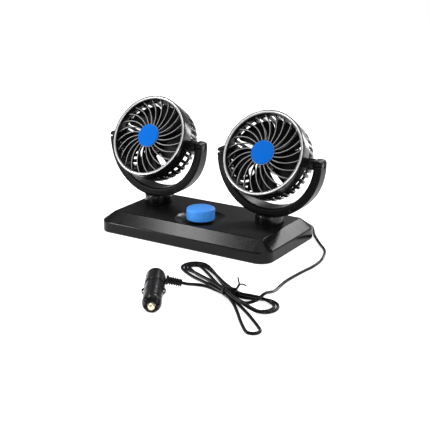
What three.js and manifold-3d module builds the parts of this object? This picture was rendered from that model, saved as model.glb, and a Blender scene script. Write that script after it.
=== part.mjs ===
// A dual head car fan: two fan heads that tilt in U-shaped yokes, which pan on one low stick-down base,
// with the speed knob, the switch gear inside, the cord in its tied hank and the car plug.
// Lengths are in millimetres and +Z is up. The fans blow towards -Y, and +X is the base's right end.
// The origin is on the floor under the middle of the base.
import * as THREE from 'three';
import { mergeVertices } from 'three/addons/utils/BufferGeometryUtils.js';
import Module from 'manifold-3d';

const wasm = await Module();
wasm.setup();

// Clearance kept between pieces that touch
const GAP = 0.3;

// Base
const TOP_LENGTH = 206.3;
const TOP_DEPTH = 96;
const BEVEL_INSET = 14.8;
const BEVEL_HEIGHT = 10.9;
const SIDE_HEIGHT = 13.3;
const TOP_CORNER_RADIUS = 1.5;
const BASE_WALL = 2.2;
const RIM_LIFT = 0.4;
const BASE_TOP = SIDE_HEIGHT + BEVEL_HEIGHT;
const BASE_LENGTH = TOP_LENGTH + 2 * BEVEL_INSET;
const BASE_DEPTH = TOP_DEPTH + 2 * BEVEL_INSET;
const PAD_THICKNESS = 0.9;
const PAD_LENGTH = 62;
const PAD_DEPTH = 88;
const PAD_X = 52;
const PLATE_BOTTOM = 1.2;
const PLATE_TOP = 4;
const SCREW_X = 97;
const SCREW_Y = 43;
const SCREW_HEAD_RADIUS = 2.8;
const SCREW_RADIUS = 1.3;
const PILLAR_RADIUS = 3.6;

// Knob, its dish and the switch under it
const KNOB_X = 2;
const KNOB_Y = -16.5;
const KNOB_RADIUS = 17.1;
const KNOB_BOTTOM = 23.4;
const KNOB_TOP = 37.6;
const DISH_RADIUS = 31;
const DISH_DEPTH = 4;
const DISH_FLOOR = BASE_TOP - DISH_DEPTH;
const SWITCH_SIZE = 19;
const SWITCH_HEIGHT = 9.5;
const BUSHING_RADIUS = 3.4;
const SHAFT_RADIUS = 1.9;

// Yokes
const POST_X = 79.8;
const POST_Y = 12.5;
const POST_RADIUS = 17.1;
const NECK_RADIUS = 9.6;
const WIRE_BORE_RADIUS = 4.5;
const PIVOT_HEIGHT = 102.4;
const YOKE_OUTER = 68.5;
const YOKE_INNER = 58;
const YOKE_WIDTH_TOP = 14.5;
const YOKE_WIDTH_BOTTOM = 22;
const ARM_ABOVE_PIVOT = 6;
const ARM_CORNER = 4;
const PIVOT_RADIUS = 3.8;
const SNAP_SLOT = 2.4;

// Fan heads, measured from the tilt axis along the fan's own axis
const HEAD_TILT = 29;
const RING_FRONT = 23.4;
const RING_OUTER = 50;
const RING_INNER = 47.2;
const BAND_OUTER = 51;
const BAND_FRONT = 22.8;
const BAND_REAR = 4.5;
const CAGE_REAR = -21.5;
const CAGE_RIBS = 32;
const RIB_THICKNESS = 4;
const REAR_RING_INNER = 38;
const REAR_RING_OUTER = 41;
const STRUTS = 4;
const GUARD_RADIUS = 30;
const CUP_RADIUS = 14.6;
const SPOKES = 24;
const SPOKE_SWEEP = 26;
// Turns the spokes so that each ends in the middle of one of the rim's facets
const RIM_TURN = 4;
const SPOKE_WIDTH = 1.3;
const SPOKE_DEPTH = 3.4;
const BADGE_RADIUS = 14.25;
const BLADES = 5;
const BLADE_TIP = 44;
const BLADE_WIDTH = 65;
const BLADE_TURN = 15;
const HUB_RADIUS = 15;
const MOTOR_RADIUS = 12.2;
const ROUND_STEPS = 32;
const SMALL_STEPS = 12;
const MEDIUM_STEPS = 28;

const DEGREE = Math.PI / 180;

// Cord, hank, tie and plug
const CORD_DIAMETER = 3.5;
const CORD_SIDES = 8;
const GLAND_X = 88;
const GLAND_Z = 7.7;
const GLAND_LENGTH = 8;
const PLUG_HEAD_X = 49.8;
const PLUG_HEAD_Y = -177.5;
const PLUG_HEADING = -58;
const PLUG_HEAD_RADIUS = 10.6;
const PLUG_RADIUS = 10;
const PLUG_HEIGHT = PLUG_HEAD_RADIUS + 0.3;
const RELIEF_HEADING = PLUG_HEADING + 90;
const RELIEF_DROOP = 12;
const RELIEF_START = PLUG_HEAD_RADIUS + GAP;
const RELIEF_LENGTH = 17;
const RELIEF_RIBS = 5;


// Materials, with the colours of the real pieces
function material(color, roughness, metalness = 0) {
  return new THREE.MeshStandardMaterial({ color, roughness, metalness });
}

const BLACK_GLOSS = [0x1c1c1c, 0.3];
const BLACK_SATIN = [0x242424, 0.5];
const BLACK_RUBBER = [0x141414, 0.75];
const BLUE_PLASTIC = [0x3f9dff, 0.4];
const SILVER_PAINT = [0xd9dadb, 0.3];
const BRIGHT_STEEL = [0xb9bcc0, 0.3, 1];
const BRASS = [0xd8c690, 0.35, 1];
const CERAMIC = [0xe8e4da, 0.8];
const FERRITE = [0x3a3a3c, 0.7];

const fan = new THREE.Group();

// Adds one piece to a parent under its own name
function add(parent, name, geometry, finish) {
  const mesh = new THREE.Mesh(geometry, material(...finish));
  mesh.name = name;
  parent.add(mesh);
}

// Merges a closed geometry's shared vertices, drops its flat triangles and turns its faces outwards
function closed(geometry) {
  const bare = geometry.clone();
  bare.deleteAttribute('normal');
  bare.deleteAttribute('uv');
  const merged = mergeVertices(bare, 1e-4);
  const position = merged.attributes.position;
  const index = merged.index.array;
  const kept = [];
  const a = new THREE.Vector3();
  const b = new THREE.Vector3();
  const c = new THREE.Vector3();
  let volume = 0;
  for (let i = 0; i < index.length; i += 3) {
    const [p, q, r] = [index[i], index[i + 1], index[i + 2]];
    if (p === q || q === r || r === p) continue;
    kept.push([p, q, r]);
    a.fromBufferAttribute(position, p);
    b.fromBufferAttribute(position, q);
    c.fromBufferAttribute(position, r);
    volume += a.dot(b.cross(c));
  }
  const ordered = volume < 0 ? kept.map(([p, q, r]) => [p, r, q]) : kept;
  merged.setIndex(ordered.flat());
  return merged;
}

// Turns a closed geometry into a solid that can be joined and cut
function solid(geometry) {
  const clean = closed(geometry);
  return new wasm.Manifold(new wasm.Mesh({
    numProp: 3,
    vertProperties: new Float32Array(clean.attributes.position.array),
    triVerts: new Uint32Array(clean.index.array),
  }));
}

function geometryOf(manifold) {
  const mesh = manifold.getMesh();
  const geometry = new THREE.BufferGeometry();
  geometry.setAttribute('position', new THREE.BufferAttribute(new Float32Array(mesh.vertProperties), 3));
  geometry.setIndex(new THREE.BufferAttribute(new Uint32Array(mesh.triVerts), 1));
  return geometry;
}

// Joins the first list of geometries and cuts the second list from it
function shape(joined, cuts = []) {
  let result = solid(joined[0]);
  for (const piece of joined.slice(1)) result = result.add(solid(piece));
  for (const piece of cuts) result = result.subtract(solid(piece));
  return geometryOf(result);
}

function common(first, second) {
  return geometryOf(solid(first).intersect(solid(second)));
}

// A body turned about Z from a closed outline of [radius, height] points
function turned(outline, steps = SMALL_STEPS) {
  const points = [...outline, outline[0]].map(([r, z]) => new THREE.Vector2(r, z));
  return closed(new THREE.LatheGeometry(points, steps).rotateX(Math.PI / 2));
}

function rod(radius, low, high, steps = SMALL_STEPS) {
  return turned([[0, low], [radius, low], [radius, high], [0, high]], steps);
}

function block(sizeX, sizeY, low, high) {
  return new THREE.BoxGeometry(sizeX, sizeY, high - low).translate(0, 0, (low + high) / 2);
}

function extruded(outline, depth, segments = 6) {
  return new THREE.ExtrudeGeometry(outline, { depth, bevelEnabled: false, curveSegments: segments });
}

function polygon(points) {
  return new THREE.Shape(points.map(([x, y]) => new THREE.Vector2(x, y)));
}

// Points along an arc, in degrees
function arc(x, y, radius, from, to, steps) {
  return Array.from({ length: steps + 1 }, (_, i) => {
    const turn = (from + ((to - from) * i) / steps) * DEGREE;
    return [x + radius * Math.cos(turn), y + radius * Math.sin(turn)];
  });
}

function roundedRectangle(length, depth, radius) {
  const x = length / 2;
  const y = depth / 2;
  const outline = new THREE.Shape();
  outline.absarc(x - radius, y - radius, radius, 0, Math.PI / 2, false);
  outline.absarc(-x + radius, y - radius, radius, Math.PI / 2, Math.PI, false);
  outline.absarc(-x + radius, -y + radius, radius, Math.PI, 1.5 * Math.PI, false);
  outline.absarc(x - radius, -y + radius, radius, 1.5 * Math.PI, 2 * Math.PI, false);
  return outline;
}

// Points evenly round a circle, for repeated pieces
function around(count, place) {
  return Array.from({ length: count }, (_, i) => place((i * 360) / count));
}

// A tube along a curve, from a round section with flat ends
function tube(curve, radius, steps, sides = CORD_SIDES) {
  const section = new THREE.Shape();
  for (let i = 0; i < sides; i += 1) {
    const turn = (i / sides) * 2 * Math.PI;
    const at = [radius * Math.cos(turn), radius * Math.sin(turn)];
    if (i === 0) section.moveTo(...at);
    else section.lineTo(...at);
  }
  return closed(new THREE.ExtrudeGeometry(section, { steps, extrudePath: curve, bevelEnabled: false }));
}

// A tube through ring centres that stay near level: each ring stands square to its neighbours' chord
function ringTube(points, radius, sides) {
  const vertices = [];
  const triangles = [];
  const up = new THREE.Vector3(0, 0, 1);
  points.forEach((point, i) => {
    const before = points[Math.max(i - 1, 0)];
    const after = points[Math.min(i + 1, points.length - 1)];
    const along = after.clone().sub(before).normalize();
    const side = along.clone().cross(up).normalize();
    const rise = side.clone().cross(along);
    for (let k = 0; k < sides; k += 1) {
      const turn = ((k + 0.5) / sides) * 2 * Math.PI;
      const vertex = point.clone();
      vertex.addScaledVector(side, radius * Math.cos(turn));
      vertex.addScaledVector(rise, radius * Math.sin(turn));
      vertices.push(vertex.x, vertex.y, vertex.z);
    }
  });
  const last = (points.length - 1) * sides;
  for (let i = 0; i < points.length - 1; i += 1) {
    for (let k = 0; k < sides; k += 1) {
      const a = i * sides + k;
      const b = i * sides + ((k + 1) % sides);
      triangles.push(a, b, b + sides, a, b + sides, a + sides);
    }
  }
  for (let k = 1; k < sides - 1; k += 1) {
    triangles.push(0, k + 1, k, last, last + k, last + k + 1);
  }
  const geometry = new THREE.BufferGeometry();
  geometry.setAttribute('position', new THREE.Float32BufferAttribute(vertices, 3));
  geometry.setIndex(triangles);
  return closed(geometry);
}

// Base
// The form is the flat top's outline, carried out and down by one bevel to the straight side; what lies under
// the floor is cut off
function baseForm(inset, side) {
  const outline = roundedRectangle(TOP_LENGTH - 2 * inset, TOP_DEPTH - 2 * inset, TOP_CORNER_RADIUS);
  return new THREE.ExtrudeGeometry(outline, {
    depth: side,
    curveSegments: 3,
    bevelThickness: BEVEL_HEIGHT,
    bevelSize: BEVEL_INSET,
    bevelSegments: 1,
  });
}

function baseTopCover() {
  const below = block(400, 400, -60, RIM_LIFT);
  const outside = baseForm(0, SIDE_HEIGHT);
  const inside = baseForm(BASE_WALL, SIDE_HEIGHT - BASE_WALL);
  const bowl = turned([
    [0, DISH_FLOOR], [17.6, DISH_FLOOR], [23, DISH_FLOOR + 0.6], [28, DISH_FLOOR + 2],
    [DISH_RADIUS, BASE_TOP + 0.01], [DISH_RADIUS, BASE_TOP + 5], [0, BASE_TOP + 5],
  ], 24).translate(KNOB_X, KNOB_Y, 0);
  const bowlWall = turned([
    [0, DISH_FLOOR - BASE_WALL], [18.5, DISH_FLOOR - BASE_WALL], [24, DISH_FLOOR - 1.6],
    [29.5, DISH_FLOOR], [33, BASE_TOP - 1.5], [33, BASE_TOP + 5], [0, BASE_TOP + 5],
  ], 16).translate(KNOB_X, KNOB_Y, 0);
  const cavity = shape([inside], [bowlWall]);
  const pillar = rod(PILLAR_RADIUS, PLATE_TOP + GAP, BASE_TOP - 1, 8);
  const pillars = screwPlaces().map(([x, y]) => pillar.clone().translate(x, y, 0));
  const pillarHole = rod(SCREW_RADIUS + GAP, 0, 11.5, 8);
  const pillarHoles = screwPlaces().map(([x, y]) => pillarHole.clone().translate(x, y, 0));
  const postHole = rod(NECK_RADIUS + GAP, 10, 40, 20);
  const postHoles = [-1, 1].map((side) => postHole.clone().translate(side * POST_X, POST_Y, 0));
  const shaftHole = rod(BUSHING_RADIUS + GAP, 0, 40).translate(KNOB_X, KNOB_Y, 0);
  const glandHole = rod(3.7, 0, 30, 16).rotateX(-Math.PI / 2).translate(GLAND_X, 45, GLAND_Z);
  const shell = shape([shape([outside], [cavity, below]), ...pillars]);
  return shape([shell], [bowl, ...pillarHoles, ...postHoles, shaftHole, glandHole]);
}

function screwPlaces() {
  return [[-SCREW_X, -SCREW_Y], [SCREW_X, -SCREW_Y], [-SCREW_X, SCREW_Y], [SCREW_X, SCREW_Y]];
}

function baseBottomCover() {
  const inset = BASE_WALL + GAP;
  const corner = TOP_CORNER_RADIUS + BEVEL_INSET - GAP;
  const outline = roundedRectangle(BASE_LENGTH - 2 * inset, BASE_DEPTH - 2 * inset, corner);
  const plate = extruded(outline, PLATE_TOP - PLATE_BOTTOM, 2).translate(0, 0, PLATE_BOTTOM);
  const holes = screwPlaces().flatMap(([x, y]) => [
    rod(SCREW_HEAD_RADIUS + GAP, 0, 2.9, 8).translate(x, y, 0),
    rod(SCREW_RADIUS + GAP, 0, 10, 8).translate(x, y, 0),
  ]);
  return shape([plate], holes);
}

function baseScrew([x, y]) {
  return turned([
    [0, 1.3], [SCREW_HEAD_RADIUS, 1.3], [SCREW_HEAD_RADIUS, 2.6],
    [SCREW_RADIUS, 2.6], [SCREW_RADIUS, 11], [0, 11],
  ], 8).translate(x, y, 0);
}

function controlKnob() {
  const body = turned([
    [0, KNOB_BOTTOM], [KNOB_RADIUS - 0.8, KNOB_BOTTOM], [KNOB_RADIUS, KNOB_BOTTOM + 0.9],
    [KNOB_RADIUS, KNOB_TOP - 1.6], [KNOB_RADIUS - 1.2, KNOB_TOP - 0.4],
    [KNOB_RADIUS - 4, KNOB_TOP], [0, KNOB_TOP],
  ], MEDIUM_STEPS);
  const recess = rod(9, KNOB_BOTTOM - 1, KNOB_BOTTOM + 3);
  const bore = rod(SHAFT_RADIUS + GAP, KNOB_BOTTOM - 1, KNOB_TOP - 3, 10);
  return shape([body], [recess, bore]).translate(KNOB_X, KNOB_Y, 0);
}

const SWITCH_TOP = DISH_FLOOR - BASE_WALL - GAP;

function switchBody() {
  const can = block(SWITCH_SIZE, SWITCH_SIZE, SWITCH_TOP - SWITCH_HEIGHT, SWITCH_TOP);
  const bushing = rod(BUSHING_RADIUS, SWITCH_TOP - 1, DISH_FLOOR + 3);
  const underside = SWITCH_TOP - SWITCH_HEIGHT;
  const tag = block(1.6, 0.8, underside - 2.2, underside + 1);
  const tags = [-5, 0, 5].map((x) => tag.clone().translate(x, 4, 0));
  const bore = rod(SHAFT_RADIUS + GAP, SWITCH_TOP - 6, DISH_FLOOR + 10, 10);
  return shape([can, bushing, ...tags], [bore]).translate(KNOB_X, KNOB_Y, 0);
}

function switchShaft() {
  const shaft = rod(SHAFT_RADIUS, SWITCH_TOP - 5.5, KNOB_TOP - 3.5, 10);
  return shaft.translate(KNOB_X, KNOB_Y, 0);
}

function switchNut() {
  const nut = rod(5.8, DISH_FLOOR + GAP, DISH_FLOOR + 2.3, 6);
  const hole = rod(BUSHING_RADIUS + GAP, 0, 40);
  return shape([nut], [hole]).translate(KNOB_X, KNOB_Y, 0);
}

function speedResistor() {
  const body = block(24, 7, PLATE_TOP + GAP, PLATE_TOP + 7.5);
  const lead = rod(0.6, 11, 17, 8);
  const leads = [-1, 1].map((side) => lead.clone().rotateY((side * Math.PI) / 2).translate(0, 0, 7.5));
  return shape([body, ...leads]).translate(-34, -14, 0);
}

function wire(route) {
  return tube(new THREE.CatmullRomCurve3(route.map((p) => new THREE.Vector3(...p))), 0.9, 8, 5);
}

add(fan, 'base_top_cover', baseTopCover(), BLACK_GLOSS);
add(fan, 'base_bottom_cover', baseBottomCover(), BLACK_SATIN);
screwPlaces().forEach((place, i) => add(fan, `base_screw_${i + 1}`, baseScrew(place), BRIGHT_STEEL));
for (const [name, side] of [['left', -1], ['right', 1]]) {
  const pad = block(PAD_LENGTH, PAD_DEPTH, 0, PAD_THICKNESS).translate(side * PAD_X, 0, 0);
  add(fan, `adhesive_pad_${name}`, pad, BLACK_RUBBER);
}
add(fan, 'control_knob', controlKnob(), BLUE_PLASTIC);
add(fan, 'switch_body', switchBody(), BLACK_SATIN);
add(fan, 'switch_shaft', switchShaft(), BRIGHT_STEEL);
add(fan, 'switch_nut', switchNut(), BRIGHT_STEEL);
add(fan, 'speed_resistor', speedResistor(), CERAMIC);
const WIRE_ROUTES = {
  supply_wire: [[GLAND_X, 54, 7], [90, 44, 6], [50, 32, 6], [22, 10, 6], [8, -7, 5.6]],
  fan_wire_left: [[1, -8, 6.5], [-12, 2, 6.5], [-40, 10, 6.5], [-70, POST_Y, 8], [-78, POST_Y, 11]],
  fan_wire_right: [[13, -16, 6.5], [30, -8, 6.5], [52, 6, 6.5], [72, POST_Y, 8], [78, POST_Y, 11]],
};
for (const [name, route] of Object.entries(WIRE_ROUTES)) {
  add(fan, name, wire(route), BLACK_RUBBER);
}

// Yokes
// The U lies in the XZ plane about the tilt axis, wider towards its foot, and stands on the swivel post
function yokeOutline() {
  const top = ARM_ABOVE_PIVOT;
  const corner = YOKE_OUTER - ARM_CORNER;
  return polygon([
    ...arc(0, 0, YOKE_OUTER, 180, 360, 22),
    ...arc(corner, top - ARM_CORNER, ARM_CORNER, 0, 90, 3),
    ...arc(0, 0, YOKE_INNER, 360, 180, 22).map(([x, y], i) => (i === 0 ? [x, top] : [x, y])),
    [-YOKE_INNER, top],
    ...arc(-corner, top - ARM_CORNER, ARM_CORNER, 90, 180, 3),
  ]);
}

function yoke() {
  const wide = YOKE_WIDTH_BOTTOM;
  const bow = extruded(yokeOutline(), wide).rotateX(Math.PI / 2).translate(0, wide / 2, 0);
  const taper = extruded(polygon([
    [-wide / 2, -80], [wide / 2, -80], [wide / 2, -YOKE_OUTER], [YOKE_WIDTH_TOP / 2, -10],
    [YOKE_WIDTH_TOP / 2, 20], [-YOKE_WIDTH_TOP / 2, 20], [-YOKE_WIDTH_TOP / 2, -10], [-wide / 2, -YOKE_OUTER],
  ]), 160).rotateX(Math.PI / 2).rotateZ(Math.PI / 2).translate(-80, 0, 0);
  const arms = common(bow, taper);
  const foot = BASE_TOP + 1.2 - PIVOT_HEIGHT;
  const groove = BASE_TOP - BASE_WALL - PIVOT_HEIGHT;
  const post = turned([
    [0, groove - 8], [NECK_RADIUS, groove - 8], [NECK_RADIUS, groove - 2.2],
    [NECK_RADIUS - 1.2, groove - 2.2], [NECK_RADIUS - 1.2, groove], [NECK_RADIUS, groove],
    [NECK_RADIUS, foot], [POST_RADIUS, foot], [POST_RADIUS, -YOKE_OUTER + 1.6],
    [POST_RADIUS - 2, -YOKE_OUTER + 3.4], [0, -YOKE_OUTER + 4.5],
  ], 20);
  const bore = rod(WIRE_BORE_RADIUS, groove - 20, -YOKE_OUTER + 1, 16);
  const pivots = rod(PIVOT_RADIUS + GAP, -80, 80).rotateY(Math.PI / 2);
  const slots = new THREE.BoxGeometry(160, 20, SNAP_SLOT).translate(0, -10, 0);
  return shape([arms, post], [bore, pivots, slots]);
}

function yokeRetainer() {
  const high = BASE_TOP - BASE_WALL - PIVOT_HEIGHT - GAP;
  const ring = turned([
    [NECK_RADIUS - 0.9, high - 1.6], [13.5, high - 1.6], [13.5, high], [NECK_RADIUS - 0.9, high],
  ]);
  const split = new THREE.BoxGeometry(14, 20, 10).translate(0, 10, high);
  return shape([ring], [split]);
}

function swivelWasher() {
  const low = BASE_TOP + GAP - PIVOT_HEIGHT;
  const outer = POST_RADIUS + 0.4;
  return turned([[10.6, low], [outer, low], [outer, low + 0.6], [10.6, low + 0.6]], 18);
}

// Fan heads
// Every outline here runs along the fan's own axis, with zero on the tilt axis and plus towards the front
function trimRing() {
  const rear = RING_FRONT - 2.6;
  return turned([
    [RING_INNER, rear], [RING_OUTER, rear], [RING_OUTER, RING_FRONT - 0.8],
    [(RING_OUTER + RING_INNER) / 2, RING_FRONT], [RING_INNER, RING_FRONT - 0.8],
  ], ROUND_STEPS);
}

function hubBadge() {
  return turned([
    [0, RING_FRONT - 1.1], [BADGE_RADIUS, RING_FRONT - 1.1], [BADGE_RADIUS, RING_FRONT - 0.1],
    [BADGE_RADIUS - 0.8, RING_FRONT + 0.3], [0, RING_FRONT + 0.5],
  ], MEDIUM_STEPS);
}

// One grille spoke sweeps round as it goes out, and dives behind the ring's plane
function grilleSpoke(start) {
  const inner = BADGE_RADIUS - 1;
  const outer = 47.4;
  const rings = 4;
  const vertices = [];
  const triangles = [];
  for (let i = 0; i < rings; i += 1) {
    const part = i / (rings - 1);
    const radius = inner + part * (outer - inner);
    const angle = (start + SPOKE_SWEEP * part ** 1.3) * DEGREE;
    const lean = Math.atan(((SPOKE_SWEEP * DEGREE * 1.3 * part ** 0.3) / (outer - inner)) * radius);
    const front = RING_FRONT - 1.8 - 3.6 * part * part;
    const side = new THREE.Vector3(-Math.sin(angle + lean), Math.cos(angle + lean), 0);
    for (const [across, depth] of [[-1, 0], [1, 0], [1, 1], [-1, 1]]) {
      const x = radius * Math.cos(angle) + side.x * across * SPOKE_WIDTH * 0.5;
      const y = radius * Math.sin(angle) + side.y * across * SPOKE_WIDTH * 0.5;
      vertices.push(x, y, front - depth * SPOKE_DEPTH);
    }
  }
  for (let i = 0; i < rings - 1; i += 1) {
    for (let k = 0; k < 4; k += 1) {
      const a = i * 4 + k;
      const b = i * 4 + ((k + 1) % 4);
      triangles.push(a, b, b + 4, a, b + 4, a + 4);
    }
  }
  const last = (rings - 1) * 4;
  triangles.push(0, 2, 1, 0, 3, 2, last, last + 1, last + 2, last, last + 2, last + 3);
  const geometry = new THREE.BufferGeometry();
  geometry.setAttribute('position', new THREE.Float32BufferAttribute(vertices, 3));
  geometry.setIndex(triangles);
  return geometry;
}

function frontGrille() {
  const rear = RING_FRONT - 6.4;
  const front = RING_FRONT - 1.4;
  const hub = turned([[0, rear], [HUB_RADIUS - 0.4, rear], [HUB_RADIUS - 0.2, front], [0, front]], SPOKES);
  const rim = turned([[46.4, 13], [48.6, 13], [48.6, 20.5], [46.4, 20.5]], SPOKES);
  return shape([rim, hub, ...around(SPOKES, (angle) => grilleSpoke(angle + RIM_TURN))]);
}

// One cage rib runs back from the band and turns in over the shoulder to the rear ring
function cageRib(angle) {
  const side = polygon([
    [49.3, 6.5], [50.3, 6.5], [49.6, -14], [46, -20], [REAR_RING_INNER + 1.5, CAGE_REAR], [46.4, -12.5],
  ]);
  const rib = extruded(side, RIB_THICKNESS).translate(0, 0, -RIB_THICKNESS / 2);
  return rib.rotateX(Math.PI / 2).rotateZ((angle + 180 / CAGE_RIBS) * DEGREE);
}

// Band, ribbed cage and pivot bosses
function rearHousing() {
  const band = turned([
    [49.1, 20.2], [RING_OUTER + GAP, 20.2], [RING_OUTER + GAP, BAND_FRONT], [BAND_OUTER, BAND_FRONT],
    [BAND_OUTER - 0.4, BAND_REAR], [49.1, BAND_REAR],
  ], ROUND_STEPS);
  const ringRear = CAGE_REAR - 0.4;
  const rearRing = turned([
    [REAR_RING_INNER, ringRear], [REAR_RING_OUTER, ringRear], [REAR_RING_OUTER, -19], [REAR_RING_INNER, -19],
  ], CAGE_RIBS);
  const bosses = [0, 180].map((angle) => shape([
    new THREE.BoxGeometry(6, 17, 17).translate(47.4, 0, -2.4),
    rod(6.5, 46, YOKE_INNER - 0.9).rotateY(Math.PI / 2),
    rod(PIVOT_RADIUS, 50, YOKE_OUTER - 0.8).rotateY(Math.PI / 2),
  ]).rotateZ(angle * DEGREE));
  const bladeRoom = rod(46.2, -17, 25, ROUND_STEPS);
  const bossInside = common(bladeRoom, new THREE.BoxGeometry(120, 20, 16).translate(0, 0, -2.4));
  return shape([band, rearRing, ...around(CAGE_RIBS, cageRib), ...bosses], [bossInside]);
}

// The motor's mount: a cup on struts, which cross a guard ring and end at the cage's rear ring
function motorMount() {
  const boreRadius = MOTOR_RADIUS + GAP;
  const cup = turned([
    [5, -23.4], [13, -23.4], [CUP_RADIUS, -22], [CUP_RADIUS, -7],
    [boreRadius, -7], [boreRadius, -20.7], [5, -20.7],
  ]);
  const inner = CUP_RADIUS - 1;
  const outer = REAR_RING_INNER - 0.5;
  const strut = new THREE.BoxGeometry(outer - inner, 3.2, 2.4).translate((outer + inner) / 2, 0, -20.2);
  const struts = around(STRUTS, (angle) => strut.clone().rotateZ((angle + 50) * DEGREE));
  const guardInner = GUARD_RADIUS - 1.1;
  const guardOuter = GUARD_RADIUS + 1.1;
  const guardSide = [[guardInner, -21.2], [guardOuter, -21.2], [guardOuter, -19.2], [guardInner, -19.2]];
  const guard = turned(guardSide, 10);
  return shape([cup, guard, ...struts]);
}

// A fan blade is a slab on a grid: it sweeps forward with radius and climbs along the axis across its width
function fanBlade(start) {
  const acrossSteps = 3;
  const outSteps = 2;
  const thickness = 1.4;
  const place = (i, j, level) => {
    const out = j / outSteps;
    const across = i / acrossSteps;
    const radius = HUB_RADIUS - 0.6 + out * (BLADE_TIP - HUB_RADIUS + 0.6);
    const angle = (start + 12 * out + BLADE_WIDTH * across) * DEGREE;
    const height = 2.6 + 8.6 * across + 1.6 * Math.sin(Math.PI * across) - 0.8 * out;
    return [radius * Math.cos(angle), radius * Math.sin(angle), height + level * thickness];
  };
  const vertices = [];
  const triangles = [];
  const count = (acrossSteps + 1) * (outSteps + 1);
  const at = (i, j, level) => level * count + j * (acrossSteps + 1) + i;
  for (const level of [0, 1]) {
    for (let j = 0; j <= outSteps; j += 1) {
      for (let i = 0; i <= acrossSteps; i += 1) vertices.push(...place(i, j, level));
    }
  }
  const quad = (a, b, c, d) => triangles.push(a, b, c, a, c, d);
  for (let j = 0; j < outSteps; j += 1) {
    for (let i = 0; i < acrossSteps; i += 1) {
      quad(at(i, j, 0), at(i, j + 1, 0), at(i + 1, j + 1, 0), at(i + 1, j, 0));
      quad(at(i, j, 1), at(i + 1, j, 1), at(i + 1, j + 1, 1), at(i, j + 1, 1));
    }
    quad(at(0, j, 0), at(0, j, 1), at(0, j + 1, 1), at(0, j + 1, 0));
    quad(at(acrossSteps, j, 0), at(acrossSteps, j + 1, 0), at(acrossSteps, j + 1, 1), at(acrossSteps, j, 1));
  }
  for (let i = 0; i < acrossSteps; i += 1) {
    quad(at(i, 0, 0), at(i + 1, 0, 0), at(i + 1, 0, 1), at(i, 0, 1));
    quad(at(i, outSteps, 0), at(i, outSteps, 1), at(i + 1, outSteps, 1), at(i + 1, outSteps, 0));
  }
  const geometry = new THREE.BufferGeometry();
  geometry.setAttribute('position', new THREE.Float32BufferAttribute(vertices, 3));
  geometry.setIndex(triangles);
  return geometry;
}

function fanWheel() {
  const hub = turned([
    [1.4, 10], [3.6, 10], [3.6, 13.4], [13.3, 13.4], [13.3, 1.4], [HUB_RADIUS, 1.4], [HUB_RADIUS, 14.4],
    [0, 15], [0, 13.7], [1.4, 13.7],
  ]);
  return shape([hub, ...around(BLADES, (angle) => fanBlade(angle + BLADE_TURN))]);
}

function motorCan() {
  const outer = MOTOR_RADIUS;
  return turned([
    [outer - 1, -19.2], [outer, -19.2], [outer, 8], [3.2, 8],
    [3.2, 9.5], [1.4, 9.5], [1.4, 7], [outer - 1, 7],
  ]);
}

function motorEndCap() {
  const disc = turned([
    [1.4, -20.3], [MOTOR_RADIUS, -20.3], [MOTOR_RADIUS, -19.5], [10.8, -19.5], [10.8, -17.5], [1.4, -17.5],
  ]);
  const tags = [-1, 1].map((side) => block(2.2, 0.6, -22.6, -20).translate(side * 3.4, 0, 0));
  return shape([disc, ...tags]);
}

function motorMagnets() {
  const ring = turned([[9.2, -12], [10.9, -12], [10.9, 4], [9.2, 4]]);
  const split = new THREE.BoxGeometry(2, 40, 40).translate(0, 20, 0);
  return shape([ring], [split]);
}

function motorRotor() {
  return turned([
    [0, -19], [1.1, -19], [1.1, -16.5], [3.2, -16.5], [3.2, -12.5], [8.6, -12.5], [8.6, 4.5],
    [1.1, 4.5], [1.1, 13.3], [0, 13.3],
  ]);
}

for (const [name, side] of [['left', -1], ['right', 1]]) {
  const pivot = new THREE.Group();
  pivot.position.set(side * POST_X, POST_Y, PIVOT_HEIGHT);
  fan.add(pivot);
  add(pivot, `yoke_${name}`, yoke(), BLACK_SATIN);
  add(pivot, `yoke_retainer_${name}`, yokeRetainer(), BRIGHT_STEEL);
  add(pivot, `swivel_washer_${name}`, swivelWasher(), BLACK_RUBBER);
  const head = new THREE.Group();
  head.rotation.x = (90 - HEAD_TILT) * DEGREE;
  pivot.add(head);
  add(head, `rear_housing_${name}`, rearHousing(), BLACK_GLOSS);
  add(head, `motor_mount_${name}`, motorMount(), BLACK_GLOSS);
  add(head, `front_grille_${name}`, frontGrille(), BLACK_SATIN);
  add(head, `trim_ring_${name}`, trimRing(), SILVER_PAINT);
  add(head, `hub_badge_${name}`, hubBadge(), BLUE_PLASTIC);
  add(head, `fan_wheel_${name}`, fanWheel(), BLACK_SATIN);
  add(head, `motor_can_${name}`, motorCan(), BRIGHT_STEEL);
  add(head, `motor_end_cap_${name}`, motorEndCap(), CERAMIC);
  add(head, `motor_magnets_${name}`, motorMagnets(), FERRITE);
  add(head, `motor_rotor_${name}`, motorRotor(), BRIGHT_STEEL);
}

// Cord gland, in the back wall near the right end
function cordGland() {
  const wallOut = BASE_DEPTH / 2;
  const sleeve = turned([
    [0, -4], [3.4, -4], [3.4, GAP], [4.6, GAP], [4.6, 1.8], [3.9, 3], [2.9, GLAND_LENGTH], [0, GLAND_LENGTH],
  ], 12).rotateX(-Math.PI / 2);
  const flange = new THREE.BoxGeometry(10.4, 2.9, 6.4).translate(0, -BASE_WALL - GAP - 1.45, 0);
  return shape([sleeve, flange]).translate(GLAND_X, wallOut, GLAND_Z);
}

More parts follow.
